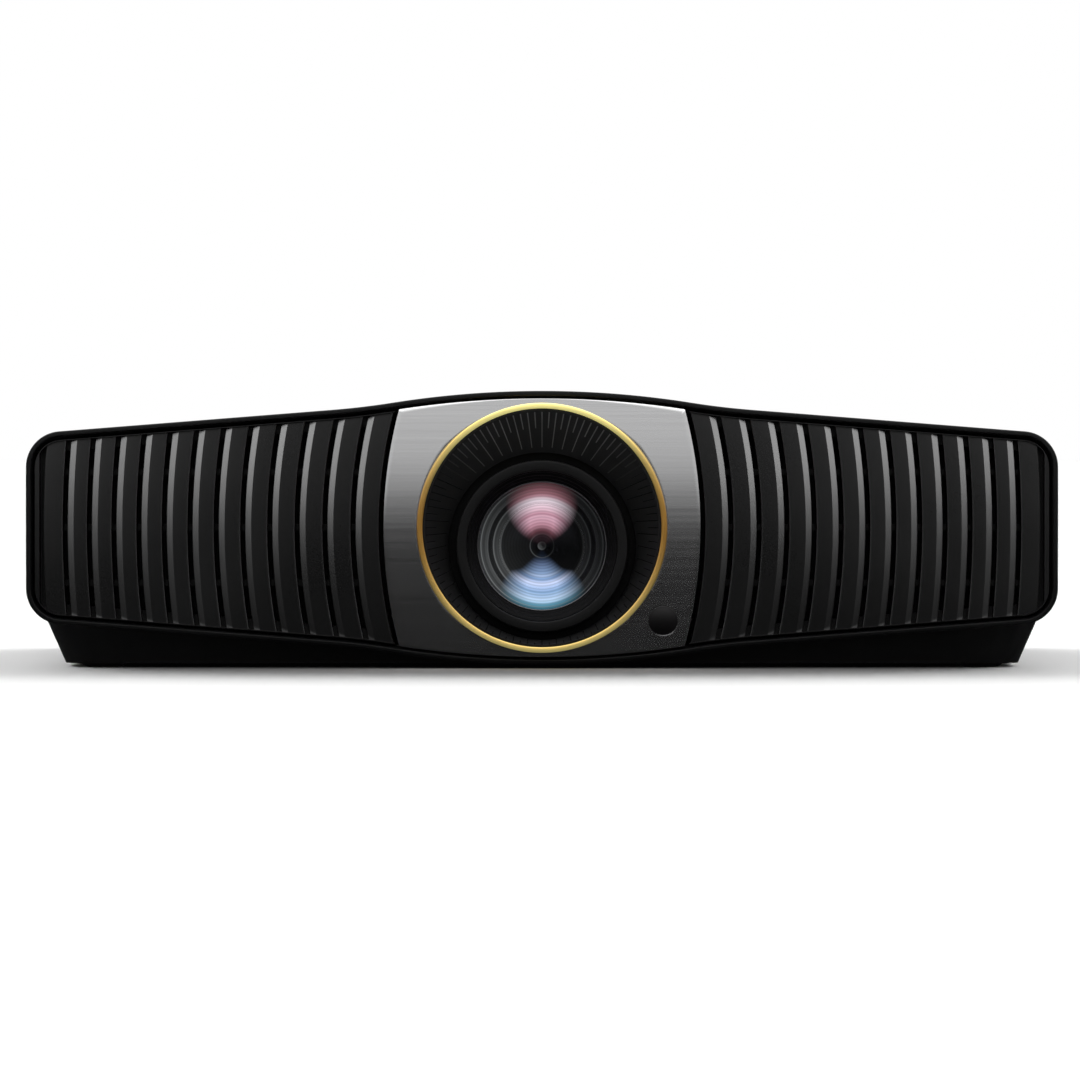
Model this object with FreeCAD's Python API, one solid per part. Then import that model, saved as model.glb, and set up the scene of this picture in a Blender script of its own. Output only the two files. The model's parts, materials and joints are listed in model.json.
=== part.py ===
"""Home cinema projector, modelled as an assembly of separate pieces.

Frame: X to the right of someone facing the lens, Y towards the back, Z up, millimetres.
The origin is on the table, under the middle of the projector. The lens looks along -Y.
Every piece is written to parts/NAME.step.
"""

import FreeCAD
import Part
import math
import os
from FreeCAD import Placement, Rotation, Vector

X, Y, Z = Vector(1, 0, 0), Vector(0, 1, 0), Vector(0, 0, 1)

# ---------------------------------------------------------------- driving sizes
width = 520.0  # over the front bezel
height = 140.0  # table to the top of the arch
depth = 420.0  # trim ring to the rear rim
foot_gap = 2.0  # table to the underside of the case

# the face outline: an arch, a hollow blend, a straight slope and a round corner
arch_radius = 480.0
arch_half_width = 75.0
blend_radius = 400.0
slope_angle = 4.5
corner_radius = 18.0
front_bow_radius = 700.0  # the face bows forwards between top and bottom

# front bezel
ring_proud = 1.5  # trim ring in front of the bezel
bezel_depth = 14.0
bezel_lip = 2.2  # width of the bezel's face
bezel_wall = 4.0  # width of the bezel behind its inner chamfer
bezel_chamfer_depth = 9.0

# fins of the two grilles
fin_count = 13
fin_gap = 2.3
fin_pitch_growth = 0.0168  # each pitch is this share longer than the outermost
fin_recess = 3.0  # fins behind the bezel's face
fin_depth = 18.0
fin_bevel = 3.2  # width of the bevel on each fin's outer edge
fin_bevel_depth = 1.6
filter_inset = 11.0  # foam filters behind the fins
filter_gap = 0.6
filter_thickness = 3.0
fin_end_gap = 0.3  # fins to the bezel
lip_width = 0.5  # thin lip of the grille along the bezel, above and below
side_lip_width = 2.4  # the same lip at the sides
side_lip_gap = 2.0  # side lip to the first fin
lip_recess = 1.5  # lip in front of the fins' recess
outer_fin_curve = 1 / 600.0
panel_edge_curve = 1 / 228.0
carrier_width = 6.0
carrier_depth = 4.0

# centre panel, trim ring and lens surround
panel_half_width = 79.8
panel_recess = 0.8
panel_thickness = 2.2
panel_end_gap = 0.15
ring_radius = 62.9
ring_width = 2.7
ring_depth = 7.0
surround_depth = 22.0
surround_back_radius = 47.4
surround_wall = 1.8

# case
case_inset = 1.2  # case behind the bezel's outline
wall = 2.5
rear_corner_radius = 22.0
rear_edge_chamfer = 2.0
parting_height = 46.0
parting_groove = 0.8
foot_plate_half_width = 242.4  # pedestal at the underside
pedestal_flare = 0.42  # sideways run of the pedestal per mm of height
pedestal_height = 34.0
pedestal_front_setback = 26.0
pedestal_rear_setback = 18.0
pedestal_corner = 20.0
vent_count = 16
vent_width = 3.0
vent_pitch = 7.5
vent_height = 44.0
vent_start = 40.0  # first vent behind the middle of the case

# lens
lens_height = 61.5
lens_recess = 17.0  # front of the lens cell behind the trim ring
cell_radius = 43.5
cell_depth = 13.0
cell_face_width = 5.3
glass_radius = 33.0
glass_front_curve = 80.0
glass_back_curve = 50.0
glass_thickness = 4.0
second_glass_radius = 21.0
second_glass_curve = 48.0
second_glass_thickness = 9.0
barrel_bore = 35.0
barrel_radius = 38.0
barrel_tail_radius = 29.0
running_gap = 0.08  # radial clearance of everything that turns or slides
gear_module = 1.0
lens_ring_teeth = 92
pinion_teeth = 24
tooth_share = 0.40  # tooth thickness as a share of the pitch
gear_width = 10.0
motor_radius = 8.0
shift_rod_radius = 3.0
shift_screw_radius = 2.5
shift_rod_spread = 50.0
shift_plate = 6.0

# cooling
fan_size = 80.0
fan_thickness = 25.0
fan_blades = 9
fan_hub_radius = 18.0
fan_tip_gap = 1.5

# feet
foot_x = 223.0
foot_front = 42.0  # foot behind the trim ring
foot_rear = 46.0  # foot ahead of the rear rim
foot_radius = 11.5
foot_screw_radius = 4.0
foot_screw_length = 30.0
foot_pad_height = 2.2
foot_disc_height = 3.4

# rear panel
rear_recess = 6.0
rear_panel_thickness = 2.0
rear_ledge = 6.5
rear_ledge_thickness = 2.5
mouth_half_width = 233.0
mouth_low = 17.0
mouth_corner = 5.0

# keypad on the right slope of the top
keypad_x = 168.0
keypad_from_rear = 78.0
keypad_length = 76.0
keypad_width = 44.0
keypad_plate = 2.5
key_proud = 0.6
key_gap = 0.35

# ceiling mount
mount_spacing_x = 240.0
mount_spacing_y = 180.0
mount_hole_radius = 2.0
insert_radius = 3.2
insert_length = 9.0

# ---------------------------------------------------------------- places
front = -depth / 2
rear = depth / 2
face = front + ring_proud  # the bezel's face at mid height
middle = (height + foot_gap) / 2
half_height = (height - foot_gap) / 2
case_front = face + bezel_depth
rear_face = rear - rear_recess  # outer face of the rear panel
lens_front = front + lens_recess
slope = math.radians(slope_angle)
floor_top = foot_gap + wall


# ---------------------------------------------------------------- helpers
def block(x0, x1, y0, y1, z0, z1):
    """A box between two corners."""
    return Part.makeBox(x1 - x0, y1 - y0, z1 - z0, Vector(x0, y0, z0))


def rod(radius, start, axis, length):
    """A cylinder from start along axis."""
    return Part.makeCylinder(radius, length, start, axis)


def tube(outer, inner, start, axis, length):
    """A pipe from start along axis."""
    return rod(outer, start, axis, length).cut(rod(inner, start, axis, length))


def lens_turned(points):
    """A ring or disc turned about the lens axis from (radius, y) points."""
    corners = [Vector(r, y, lens_height) for r, y in points]
    profile = Part.Face(Part.makePolygon(corners + corners[:1]))
    return profile.revolve(Vector(0, 0, lens_height), Y, 360)


def fuse(shapes):
    """One solid from shapes that touch."""
    return shapes[0].multiFuse(shapes[1:]).removeSplitter()


def mirror_x(shape):
    """The same piece on the other side of the projector."""
    return shape.mirror(Vector(0, 0, 0), X)


def rounded_plan(half_x, y0, y1, radius, z):
    """A rectangle with round corners, flat at height z."""
    plate = block(-half_x, half_x, y0, y1, z, z + 1)
    upright = [e for e in plate.Edges if abs(e.tangentAt(e.FirstParameter).z) > 0.9]
    rounded = plate.makeFillet(radius, upright)
    return min(rounded.Faces, key=lambda f: f.CenterOfMass.z).OuterWire


def save(name, shape):
    """Writes one piece, or a group of equal loose pieces, to parts/."""
    solids = shape.Solids
    assert solids and all(s.isValid() and s.Volume > 0 for s in solids), name
    solid = solids[0] if len(solids) == 1 else Part.makeCompound(solids)
    solid.exportStep(os.path.join("parts", name + ".step"))
    print(f"{name:24s} {len(solids):3d} solids {sum(s.Volume for s in solids) / 1000:9.1f} cm3")


# ---------------------------------------------------------------- face outline
def quarter_outline(inset):
    """Points of the upper right quarter, from the top of the arch to the side, as arcs and a line."""
    top = middle + half_height
    arch_centre = Vector(0, 0, top - arch_radius)
    arch_angle = math.asin(arch_half_width / arch_radius)
    up = lambda a: Vector(math.sin(a), 0, math.cos(a))
    blend_centre = arch_centre + up(arch_angle) * (arch_radius + blend_radius)
    corner_x = width / 2 - corner_radius
    on_slope = blend_centre - up(slope) * blend_radius
    run = (corner_x + corner_radius * math.sin(slope) - on_slope.x) / math.cos(slope)
    slope_end = on_slope + Vector(math.cos(slope), 0, -math.sin(slope)) * run
    corner_centre = slope_end - up(slope) * corner_radius
    arch_r, blend_r, corner_r = arch_radius - inset, blend_radius + inset, corner_radius - inset
    corner_mid = (slope + math.pi / 2) / 2
    return [
        arch_centre + up(0) * arch_r,
        arch_centre + up(arch_angle / 2) * arch_r,
        arch_centre + up(arch_angle) * arch_r,
        blend_centre - up((arch_angle + slope) / 2) * blend_r,
        blend_centre - up(slope) * blend_r,
        corner_centre + up(slope) * corner_r,
        corner_centre + up(corner_mid) * corner_r,
        corner_centre + up(math.pi / 2) * corner_r,
    ]


def outline(inset, y):
    """The closed face outline at depth y, moved in by inset. It is the same above and below mid height."""
    edges = []
    for sx in (1, -1):
        for sz in (1, -1):
            place = lambda p: Vector(sx * p.x, y, middle + sz * (p.z - middle))
            q = [place(p) for p in quarter_outline(inset)]
            edges += [
                Part.Arc(q[0], q[1], q[2]).toShape(),
                Part.Arc(q[2], q[3], q[4]).toShape(),
                Part.makeLine(q[4], q[5]),
                Part.Arc(q[5], q[6], q[7]).toShape(),
            ]
        edges.append(Part.makeLine(Vector(q[7].x, y, 2 * middle - q[7].z), q[7]))
    return Part.Wire(Part.__sortEdges__(edges))


def outline_solid(inset, y0, y1):
    """The face outline drawn back from y0 to y1."""
    return Part.Face(outline(inset, y0)).extrude(Vector(0, y1 - y0, 0))


def bowed(recess):
    """Everything behind the bowed face, moved back by recess."""
    radius = front_bow_radius - recess
    drum = rod(radius, Vector(-width, face + front_bow_radius, middle), X, 2 * width)
    return drum.common(block(-width, width, front - 1, face + 60, -height, 2 * height))


def slope_height(x, inset):
    """Height of the straight slope of the outline at x."""
    start = quarter_outline(inset)[4]
    return start.z - (abs(x) - start.x) * math.tan(slope)


# ---------------------------------------------------------------- front
def make_bezel():
    """The frame round the face, with a chamfered inner edge."""
    ring = outline_solid(0, front, case_front).cut(outline_solid(bezel_wall, front - 1, case_front + 1))
    chamfer = Part.makeLoft(
        [outline(bezel_lip, face - 1), outline(bezel_wall, face - 1 + bezel_chamfer_depth)], True, True
    )
    return ring.common(bowed(0)).cut(chamfer)


def fin_edges():
    """Distance of each fin's outer edge from the middle, outermost first, then the panel's edge."""
    outermost = width / 2 - bezel_wall - fin_end_gap - side_lip_width - side_lip_gap
    shares = [1 + fin_pitch_growth * k for k in range(fin_count)]
    first_pitch = (outermost - panel_half_width) / sum(shares)
    places = [outermost]
    for share in shares:
        places.append(places[-1] - first_pitch * share)
    return places


def edge_curve(x):
    """Curvature of the upright edge that crosses mid height at x: straighter towards the outside."""
    places = fin_edges()
    share = (places[0] - x) / (places[0] - places[-1])
    return outer_fin_curve + (panel_edge_curve - outer_fin_curve) * share


def upright_arc(x, y, reach=1.0):
    """The bowed upright edge that crosses mid height at x, as its lower, middle and upper points."""
    bulge = edge_curve(x) * (half_height * reach) ** 2 / 2
    low, high = middle - half_height * reach, middle + half_height * reach
    return [Vector(x - bulge, y, low), Vector(x, y, middle), Vector(x - bulge, y, high)]


def between_arcs(left, right, y0, y1):
    """A solid between two upright arcs."""
    wire = Part.Wire(
        [
            Part.Arc(*left).toShape(),
            Part.makeLine(left[2], right[2]),
            Part.Arc(*reversed(right)).toShape(),
            Part.makeLine(right[0], left[0]),
        ]
    )
    return Part.Face(wire).extrude(Vector(0, y1 - y0, 0))


def make_grille():
    """The right grille: bowed fins on a carrier behind them. The left one is its mirror image."""
    inside = outline_solid(bezel_wall + fin_end_gap, front, case_front + fin_depth)
    fin_space = outline_solid(bezel_wall + fin_end_gap + lip_width / 2, front, case_front + fin_depth)
    places = fin_edges()
    fins = []
    for outer, next_outer in zip(places, places[1:]):
        inner = next_outer + fin_gap
        y0, y1 = face, face + fin_recess + fin_depth
        blank = between_arcs(upright_arc(inner, y0), upright_arc(outer, y0), y0, y1)
        # the bevel is a wedge between the outer edge and a line one bevel in
        line_in = upright_arc(outer - fin_bevel, face - 1)
        line_out = [p + Vector(fin_bevel + 1, fin_bevel_depth * (1 + 1 / fin_bevel), 0) for p in line_in]
        corner = [p + Vector(fin_bevel + 1, 0, 0) for p in line_in]
        sides = []
        for arc in (line_in, line_out, corner):
            shifted = [p + Vector(0, fin_recess + 1, 0) for p in arc]
            sides.append(shifted)
        triangle = [
            Part.Wire(Part.makePolygon([s[k] for s in sides] + [sides[0][k]])) for k in range(3)
        ]
        fins.append((blank, triangle))
    solids = []
    for blank, triangle in fins:
        body = blank.common(fin_space).common(bowed(fin_recess))
        wedge = Part.makeLoft(triangle, True, False)
        solids.append(body.cut(wedge))
    keep = block(places[-1] + fin_gap, width, front, rear, 0, height)
    carrier_inset = bezel_wall + carrier_width
    carrier = outline_solid(bezel_wall + fin_end_gap, case_front, case_front + carrier_depth).cut(
        outline_solid(carrier_inset, front, rear)
    )
    side = width / 2 - bezel_wall - fin_end_gap - side_lip_width
    lip = inside.common(bowed(fin_recess + lip_recess)).common(
        block(-width, width, front, case_front + 1, 0, height)
    )
    lip = lip.cut(
        outline_solid(bezel_wall + fin_end_gap + lip_width, front - 1, rear).common(
            block(-side, side, front - 1, rear, 0, height)
        )
    )
    rails = [
        outline_solid(carrier_inset - 1, case_front, case_front + carrier_depth).common(
            block(0, width, front, rear, middle + z - 1.5, middle + z + 1.5)
        )
        for z in (-28, 0, 28)
    ]
    return fuse(solids + [part.common(keep) for part in [carrier, lip] + rails])


def make_dust_filters():
    """A foam air filter behind each grille, just clear of the ends of the fins."""
    y0 = face + fin_recess + fin_depth + filter_gap
    pad = outline_solid(filter_inset, y0, y0 + filter_thickness)
    inner, outer = fin_edges()[-1] - 3, width / 2 - filter_inset - 1
    sides = [block(inner, outer, front, rear, 0, height), block(-outer, -inner, front, rear, 0, height)]
    return Part.makeCompound([pad.common(side) for side in sides])


def make_panel():
    """The metal plate round the lens, between the two grilles."""
    y0, y1 = front - 1, face + 20
    edge = upright_arc(panel_half_width, y0)
    opposite = [Vector(-p.x, p.y, p.z) for p in edge]
    plate = between_arcs(opposite, edge, y0, y1)
    plate = plate.common(outline_solid(bezel_wall - 0.3 + panel_end_gap, y0, y1))
    plate = plate.common(bowed(panel_recess)).cut(bowed(panel_recess + panel_thickness))
    hole = rod(ring_radius - 0.6, Vector(0, y0, middle), Y, 40)
    window = rod(ir_radius + 0.2, Vector(ir_x, y0, ir_z), Y, 40)
    return plate.cut(hole).cut(window)


ir_radius = 6.8
ir_x, ir_z = 61.0, 24.2


def make_ir_window():
    """The domed infrared window at the lower right of the panel."""
    sag = face + panel_recess + front_bow_radius - math.sqrt(front_bow_radius**2 - (ir_z - middle) ** 2)
    dome_radius = 14.0
    stem = rod(ir_radius, Vector(ir_x, sag - 3, ir_z), Y, 12)
    dome = Part.makeSphere(dome_radius, Vector(ir_x, sag - 0.9 + dome_radius, ir_z))
    flange = tube(ir_radius + 2, ir_radius - 0.5, Vector(ir_x, sag + panel_thickness + 1, ir_z), Y, 2)
    return fuse([stem.common(dome), flange])


def make_trim_ring():
    """The gold ring: a band with a sloped inner face, standing on the panel."""
    inner = ring_radius - ring_width
    back = front + ring_depth
    points = [
        (ring_radius - 0.7, front),
        (ring_radius, front + 0.7),
        (ring_radius, face + panel_recess),
        (ring_radius - 0.8, face + panel_recess),
        (ring_radius - 0.8, back),
        (inner, back),
        (inner, front + 1.2),
        (ring_radius - 1.6, front),
    ]
    corners = [Vector(r, y, middle) for r, y in points]
    profile = Part.Face(Part.makePolygon(corners + corners[:1]))
    return profile.revolve(Vector(0, 0, middle), Y, 360)


def make_surround():
    """The off-centre funnel between the trim ring and the lens."""
    mouth = ring_radius - ring_width - 0.05

    def circle(radius, y, z):
        return Part.Wire(Part.makeCircle(radius, Vector(0, y, z), Y))

    y0, y1 = front + 1.6, front + 1.6 + surround_depth
    outside = Part.makeLoft(
        [circle(mouth, y0, middle), circle(surround_back_radius + surround_wall, y1, lens_height)], True, True
    )
    inside = Part.makeLoft(
        [circle(mouth - surround_wall * 0.6, y0, middle), circle(surround_back_radius, y1, lens_height)],
        True,
        True,
    )
    return outside.cut(inside)


# ---------------------------------------------------------------- case
def case_block(inset):
    """The outer form of the body and its pedestal, moved in by inset."""
    i = case_inset + inset
    back = rear - inset
    body = outline_solid(i, case_front, back - rear_edge_chamfer)
    rim = Part.makeLoft(
        [outline(i, back - rear_edge_chamfer), outline(i + rear_edge_chamfer, back)], True, True
    )
    plan = rounded_plan(width / 2 - i, front, back, rear_corner_radius - inset, -1)
    body = body.fuse(rim).common(Part.Face(plan).extrude(Vector(0, 0, height + 2)))
    low = foot_gap + inset
    high = foot_gap + pedestal_height

    def ring(z):
        rise = z - foot_gap
        grow = pedestal_flare * rise
        return rounded_plan(
            foot_plate_half_width + grow - inset,
            front + pedestal_front_setback - grow * 0.8 + inset,
            rear - pedestal_rear_setback + grow * 0.8 - inset,
            pedestal_corner - inset,
            z,
        )

    pedestal = Part.makeLoft([ring(low), ring(high)], True, True)
    return body.fuse(pedestal.common(block(-width, width, case_front, back, 0, high)))


def side_vents():
    """Cutters for the slots in both side walls."""
    slots = []
    for k in range(vent_count):
        y = vent_start + k * vent_pitch
        slot = block(-width, width, y, y + vent_width, middle - vent_height / 2, middle + vent_height / 2)
        ends = [e for e in slot.Edges if e.BoundBox.XLength > width]
        slots.append(slot.makeFillet(vent_width / 2 - 0.05, ends))
    return Part.makeCompound(slots)


def post_places():
    """Where the two halves of the case are screwed together."""
    return [(sx * case_post_x, y) for sx in (1, -1) for y in (case_post_front, case_post_rear)]


case_post_x = width / 2 - 38.0
case_post_front = front + 93.5
case_post_rear = rear - 86.0
case_post_radius = 4.5
case_screw_radius = 1.5
screw_head_radius = 3.0
screw_head = 1.8


def foot_places():
    """Centres of the four feet."""
    return [
        (sx * foot_x, y) for y in (front + foot_front, rear - foot_rear) for sx in (-1, 1)
    ]


def mount_places():
    """Centres of the four ceiling-mount holes."""
    return [
        (sx * mount_spacing_x / 2, sy * mount_spacing_y / 2) for sx in (-1, 1) for sy in (-1, 1)
    ]


def rear_screw_places():
    """Screws that hold the rear panel to the ledge inside the case, as (x, z)."""
    inset = screw_head_radius + 0.4
    side = mouth_half_width - inset
    top = height - case_inset - wall - 1 - inset
    low = mouth_low + inset
    return [(-side, 40), (side, 40), (-side, 98), (side, 98), (0, top), (-110, low), (110, low)]


def rear_mouth(inset, y0, y1):
    """The opening at the back from y0 to y1, moved in by inset."""
    half = mouth_half_width - inset
    opening = outline_solid(case_inset + wall + 1 + inset, y0, y1).common(
        block(-half, half, y0, y1, mouth_low + inset, height)
    )
    corners = [e for e in opening.Edges if abs(abs(e.CenterOfMass.x) - half) < 0.01 and e.BoundBox.ZLength < 0.01]
    corners = [e for e in corners if e.BoundBox.YLength > (y1 - y0) * 0.9]
    return opening.makeFillet(mouth_corner, corners)


def make_case():
    """The hollow case, cut into the top cover and the bottom case along the parting line."""
    seat = rear_face - rear_panel_thickness  # the rear panel stands on the ledge here
    step = seat - rear_ledge_thickness
    outer_form = case_block(0.5)
    hollow = case_block(wall).cut(rear_mouth(-wall, step, rear))
    shell = case_block(0).cut(hollow).cut(outline_solid(case_inset + wall, front, case_front + 10))
    shell = shell.cut(rear_mouth(0, seat, rear + 1)).cut(rear_mouth(rear_ledge, step - 1, seat + 1))
    shell = shell.cut(side_vents())

    # the sloping keypad opening
    opening = local_block(keypad_length - 4, keypad_width - 4, -12, 6)
    shell = shell.cut(opening.cut(block(-width, width, front, rear, 0, middle)))

    for x, z in rear_screw_places():
        shell = shell.cut(rod(case_screw_radius + 0.05, Vector(x, step - 2, z), Y, 10))
    top = shell.common(block(-width, width, front, rear + 1, parting_height, height + 1))
    bottom = shell.common(block(-width, width, front, rear + 1, -1, parting_height - parting_groove))

    # a lip on the bottom half stands inside the top half
    reach = block(-width, width, case_front + 12, step - 4, parting_height - 6, parting_height + 2.5)
    clear = block(-width, width, vent_start - 8, rear, parting_height + 0.5, height)
    lip = case_block(wall + 0.1).cut(case_block(wall + 1.6)).common(reach).cut(clear)
    root = case_block(wall - 0.5).cut(case_block(wall + 1.6)).common(reach)
    root = root.common(block(-width, width, front, rear, 0, parting_height - 2))
    bottom = bottom.fuse(lip.fuse(root))

    for x, y in post_places():
        post = rod(case_post_radius, Vector(x, y, parting_height + 4), Z, height)
        top = top.fuse(post.common(outer_form))
        sleeve = rod(case_post_radius, Vector(x, y, foot_gap + 0.5), Z, parting_height + 3.5 - foot_gap)
        bottom = bottom.fuse(sleeve.common(outer_form))
    for x, y in post_places():
        start = Vector(x, y, foot_gap - 1)
        top = top.cut(rod(case_screw_radius, Vector(x, y, parting_height), Z, 16))
        bottom = bottom.cut(rod(case_screw_radius + 0.1, start, Z, height))
        bottom = bottom.cut(rod(screw_head_radius + 0.4, start, Z, case_screw_seat - foot_gap + 1))

    # bosses under the feet, round the mount inserts and under what stands on the floor
    for x, y in foot_places():
        well = rod(foot_radius + 2.2, Vector(x, y, foot_gap + 0.3), Z, foot_pad_height + foot_disc_height + 2.5)
        boss = rod(foot_screw_radius + 4, Vector(x, y, foot_gap + 4), Z, foot_screw_length)
        bottom = bottom.fuse(well.common(outer_form)).fuse(boss)
    for x, y in foot_places():
        recess_top = foot_pad_height + foot_disc_height + 0.4
        bottom = bottom.cut(rod(foot_radius + 0.7, Vector(x, y, 0), Z, recess_top))
        bottom = bottom.cut(rod(foot_screw_radius + running_gap, Vector(x, y, 0), Z, height))
    for x, y in mount_places():
        bottom = bottom.fuse(rod(insert_radius + 2.5, Vector(x, y, foot_gap + 0.5), Z, insert_length + 2))
    for x, y in mount_places():
        bottom = bottom.cut(rod(insert_radius, Vector(x, y, 0), Z, foot_gap + insert_length))
    for x, y, top_z in floor_posts():
        bottom = bottom.fuse(rod(3.5, Vector(x, y, foot_gap + 0.5), Z, top_z - foot_gap - 0.5))
    return top.removeSplitter(), bottom.removeSplitter()


case_screw_seat = parting_height - 6


def floor_posts():
    """Posts of the bottom case as (x, y, top), under the engine, the supply, the board and the fans."""
    posts = [(x, y, engine_low) for x in (-50, 140) for y in (engine_front + 6, engine_rear - 6)]
    posts += [(x, y, supply_low) for x in (supply_x0 + 8, supply_x1 - 8) for y in (supply_y0 + 8, supply_y1 - 8)]
    posts += [(x, y, board_low) for x in (board_x0 + 6, board_x1 - 6) for y in (board_y0 + 6, rear_face - 20)]
    posts += [(x, fan_y + fan_thickness / 2, fan_low) for x in fan_places()]
    posts += [(x, (sink_y0 + sink_y1) / 2, sink_low) for x in (sink_x0 + 10, sink_x1 - 10)]
    return posts


# ---------------------------------------------------------------- inner layout
engine_x0, engine_x1 = -62.0, 150.0
engine_front, engine_rear = front + 148.0, front + 232.0
engine_low, engine_high = 16.0, 106.0
engine_wall = 4.0
supply_x0, supply_x1 = -206.0, -100.0
supply_y0, supply_y1 = rear - 270.0, rear - 60.0
supply_low, supply_high = 14.5, 62.0
board_x0, board_x1 = -84.0, 206.0
board_y0 = rear - 118.0
board_low, board_thickness = 34.0, 1.6
fan_y = front + 62.0
fan_low = 24.0
sink_x0, sink_x1 = 92.0, 222.0
sink_y0, sink_y1 = front + 100.0, front + 144.0
sink_low, sink_high = 24.0, 104.0


def fan_places():
    """Middle of each fan: one behind the left grille and two behind the right one."""
    return [-190.0, 104.0, 188.0]


def make_fan_frames():
    """Square frames with a round duct and three spokes that hold the motor."""
    frames = []
    for x in fan_places():
        centre_z = fan_low + fan_size / 2
        half = fan_size / 2
        frame = block(x - half, x + half, fan_y, fan_y + fan_thickness, fan_low, fan_low + fan_size)
        frame = frame.cut(rod(half - 2, Vector(x, fan_y, centre_z), Y, fan_thickness))
        spokes = [rod(fan_hub_radius, Vector(x, fan_y + fan_thickness - 3, centre_z), Y, 3)]
        for k in range(3):
            spoke = block(x + 8, x + half, fan_y + fan_thickness - 3, fan_y + fan_thickness, centre_z - 2, centre_z + 2)
            spoke.rotate(Vector(x, 0, centre_z), Y, 120 * k + 90)
            spokes.append(spoke)
        axle = rod(2.5, Vector(x, fan_y + 8, centre_z), Y, fan_thickness - 8)
        frames.append(fuse([frame] + spokes + [axle]))
    return Part.makeCompound(frames)


def make_impeller(x):
    """A hub with twisted blades, turning on the frame's axle."""
    centre_z = fan_low + fan_size / 2
    y0 = fan_y + 3
    length = fan_thickness - 8
    tip = fan_size / 2 - 2 - fan_tip_gap
    hub = rod(fan_hub_radius, Vector(x, y0, centre_z), Y, length)
    blades = []
    for k in range(fan_blades):
        blade = block(x - 1, x + 1, y0, y0 + length, centre_z + fan_hub_radius - 2, centre_z + tip)
        blade.rotate(Vector(x, y0 + length / 2, centre_z), Z, 38)
        blade = blade.common(block(x - 30, x + 30, y0, y0 + length, 0, height))
        blade.rotate(Vector(x, 0, centre_z), Y, 360 / fan_blades * k)
        blades.append(blade)
    rotor = fuse([hub] + blades)
    rotor = rotor.common(rod(tip, Vector(x, y0, centre_z), Y, length))
    rotor = rotor.cut(rod(fan_hub_radius - 2, Vector(x, y0 + 3, centre_z), Y, length))
    boss = tube(5, 2.5 + running_gap, Vector(x, y0 + 3, centre_z), Y, length - 4)
    return fuse([rotor, boss])


def make_engine():
    """The cast box that carries the light path, open above, with a bore for the lens."""
    w = engine_wall
    box = block(engine_x0, engine_x1, engine_front, engine_rear, engine_low, engine_high)
    box = box.cut(block(engine_x0 + w, engine_x1 - w, engine_front + w, engine_rear - w, engine_low + w, engine_high + 1))
    lens_bore = rod(barrel_tail_radius + 6, Vector(0, engine_front - 1, lens_height), Y, w + 2)
    imager_bore = block(-16, 16, engine_rear - w - 1, engine_rear + 1, lens_height - 12, lens_height + 12)
    beam_bore = rod(9, Vector(laser_x, engine_rear - w - 1, laser_z), Y, w + 2)
    lens_ring = tube(barrel_tail_radius + 12, barrel_tail_radius + 6, Vector(0, engine_front - 4, lens_height), Y, 5)
    axle = rod(2, Vector(wheel_x, engine_front + 2, wheel_z), Y, 16)
    return fuse([box.cut(lens_bore).cut(imager_bore).cut(beam_bore), lens_ring, axle])


laser_x, laser_z = 108.0, 62.0
wheel_x, wheel_z = 108.0, 62.0
wheel_radius = 22.0


def make_phosphor_wheel():
    """The spinning disc in the light path, with its motor cap."""
    y = engine_front + 10
    disc = tube(wheel_radius, 2 + running_gap, Vector(wheel_x, y, wheel_z), Y, 1.2)
    cap = tube(9, 2 + running_gap, Vector(wheel_x, y, wheel_z), Y, 6)
    return fuse([disc, cap])


def make_laser_module():
    """The laser bank: a block with a lens snout that enters the engine."""
    y0 = engine_rear
    body = block(laser_x - 32, laser_x + 32, y0 + 6, y0 + 46, laser_z - 26, laser_z + 26)
    snout = rod(8.8, Vector(laser_x, y0 - 2, laser_z), Y, 10)
    flange = block(laser_x - 20, laser_x + 20, y0, y0 + 6, laser_z - 18, laser_z + 18)
    return fuse([body, snout, flange])


def make_laser_heat_sink():
    """A plate-fin stack in the air stream of the right fans."""
    base = block(sink_x0, sink_x1, sink_y0, sink_y1, sink_low, sink_low + 5)
    fins = [
        block(x, x + 1.2, sink_y0, sink_y1, sink_low + 4, sink_high)
        for x in [sink_x0 + 2 + k * 5.6 for k in range(int((sink_x1 - sink_x0 - 4) / 5.6) + 1)]
    ]
    stack = fuse([base] + fins)
    for z in heat_pipe_heights():
        for dy in (12, 32):
            stack = stack.cut(rod(3.02, Vector(sink_x0 - 1, sink_y0 + dy, z), X, sink_x1 - sink_x0 + 2))
    return stack


def heat_pipe_heights():
    """Two levels of heat pipes through the fins."""
    return [48.0, 78.0]


def make_heat_pipes():
    """Copper pipes that run through the fins, round the engine's end and back to the laser bank."""
    pipes = []
    bend = 8.0
    near = bend * (1 - math.sqrt(0.5))
    for z in heat_pipe_heights():
        for dy, x_run, y_laser in ((12, sink_x1 + 26, engine_rear + 36), (32, sink_x1 + 16, engine_rear + 20)):
            y_sink = sink_y0 + dy
            out = [Vector(sink_x0 + 4, y_sink, z), Vector(x_run - bend, y_sink, z)]
            turn = [out[1], Vector(x_run - near, y_sink + near, z), Vector(x_run, y_sink + bend, z)]
            back = [Vector(x_run, y_laser - bend, z), Vector(x_run - near, y_laser - near, z)]
            back.append(Vector(x_run - bend, y_laser, z))
            path = [
                Part.makeLine(*out),
                Part.Arc(*turn).toShape(),
                Part.makeLine(turn[2], back[0]),
                Part.Arc(*back).toShape(),
                Part.makeLine(back[2], Vector(laser_x + 32, y_laser, z)),
            ]
            section = Part.Wire(Part.makeCircle(3.0, out[0], X))
            pipes.append(Part.Wire(path).makePipeShell([section], True, False))
    return Part.makeCompound(pipes)


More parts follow.
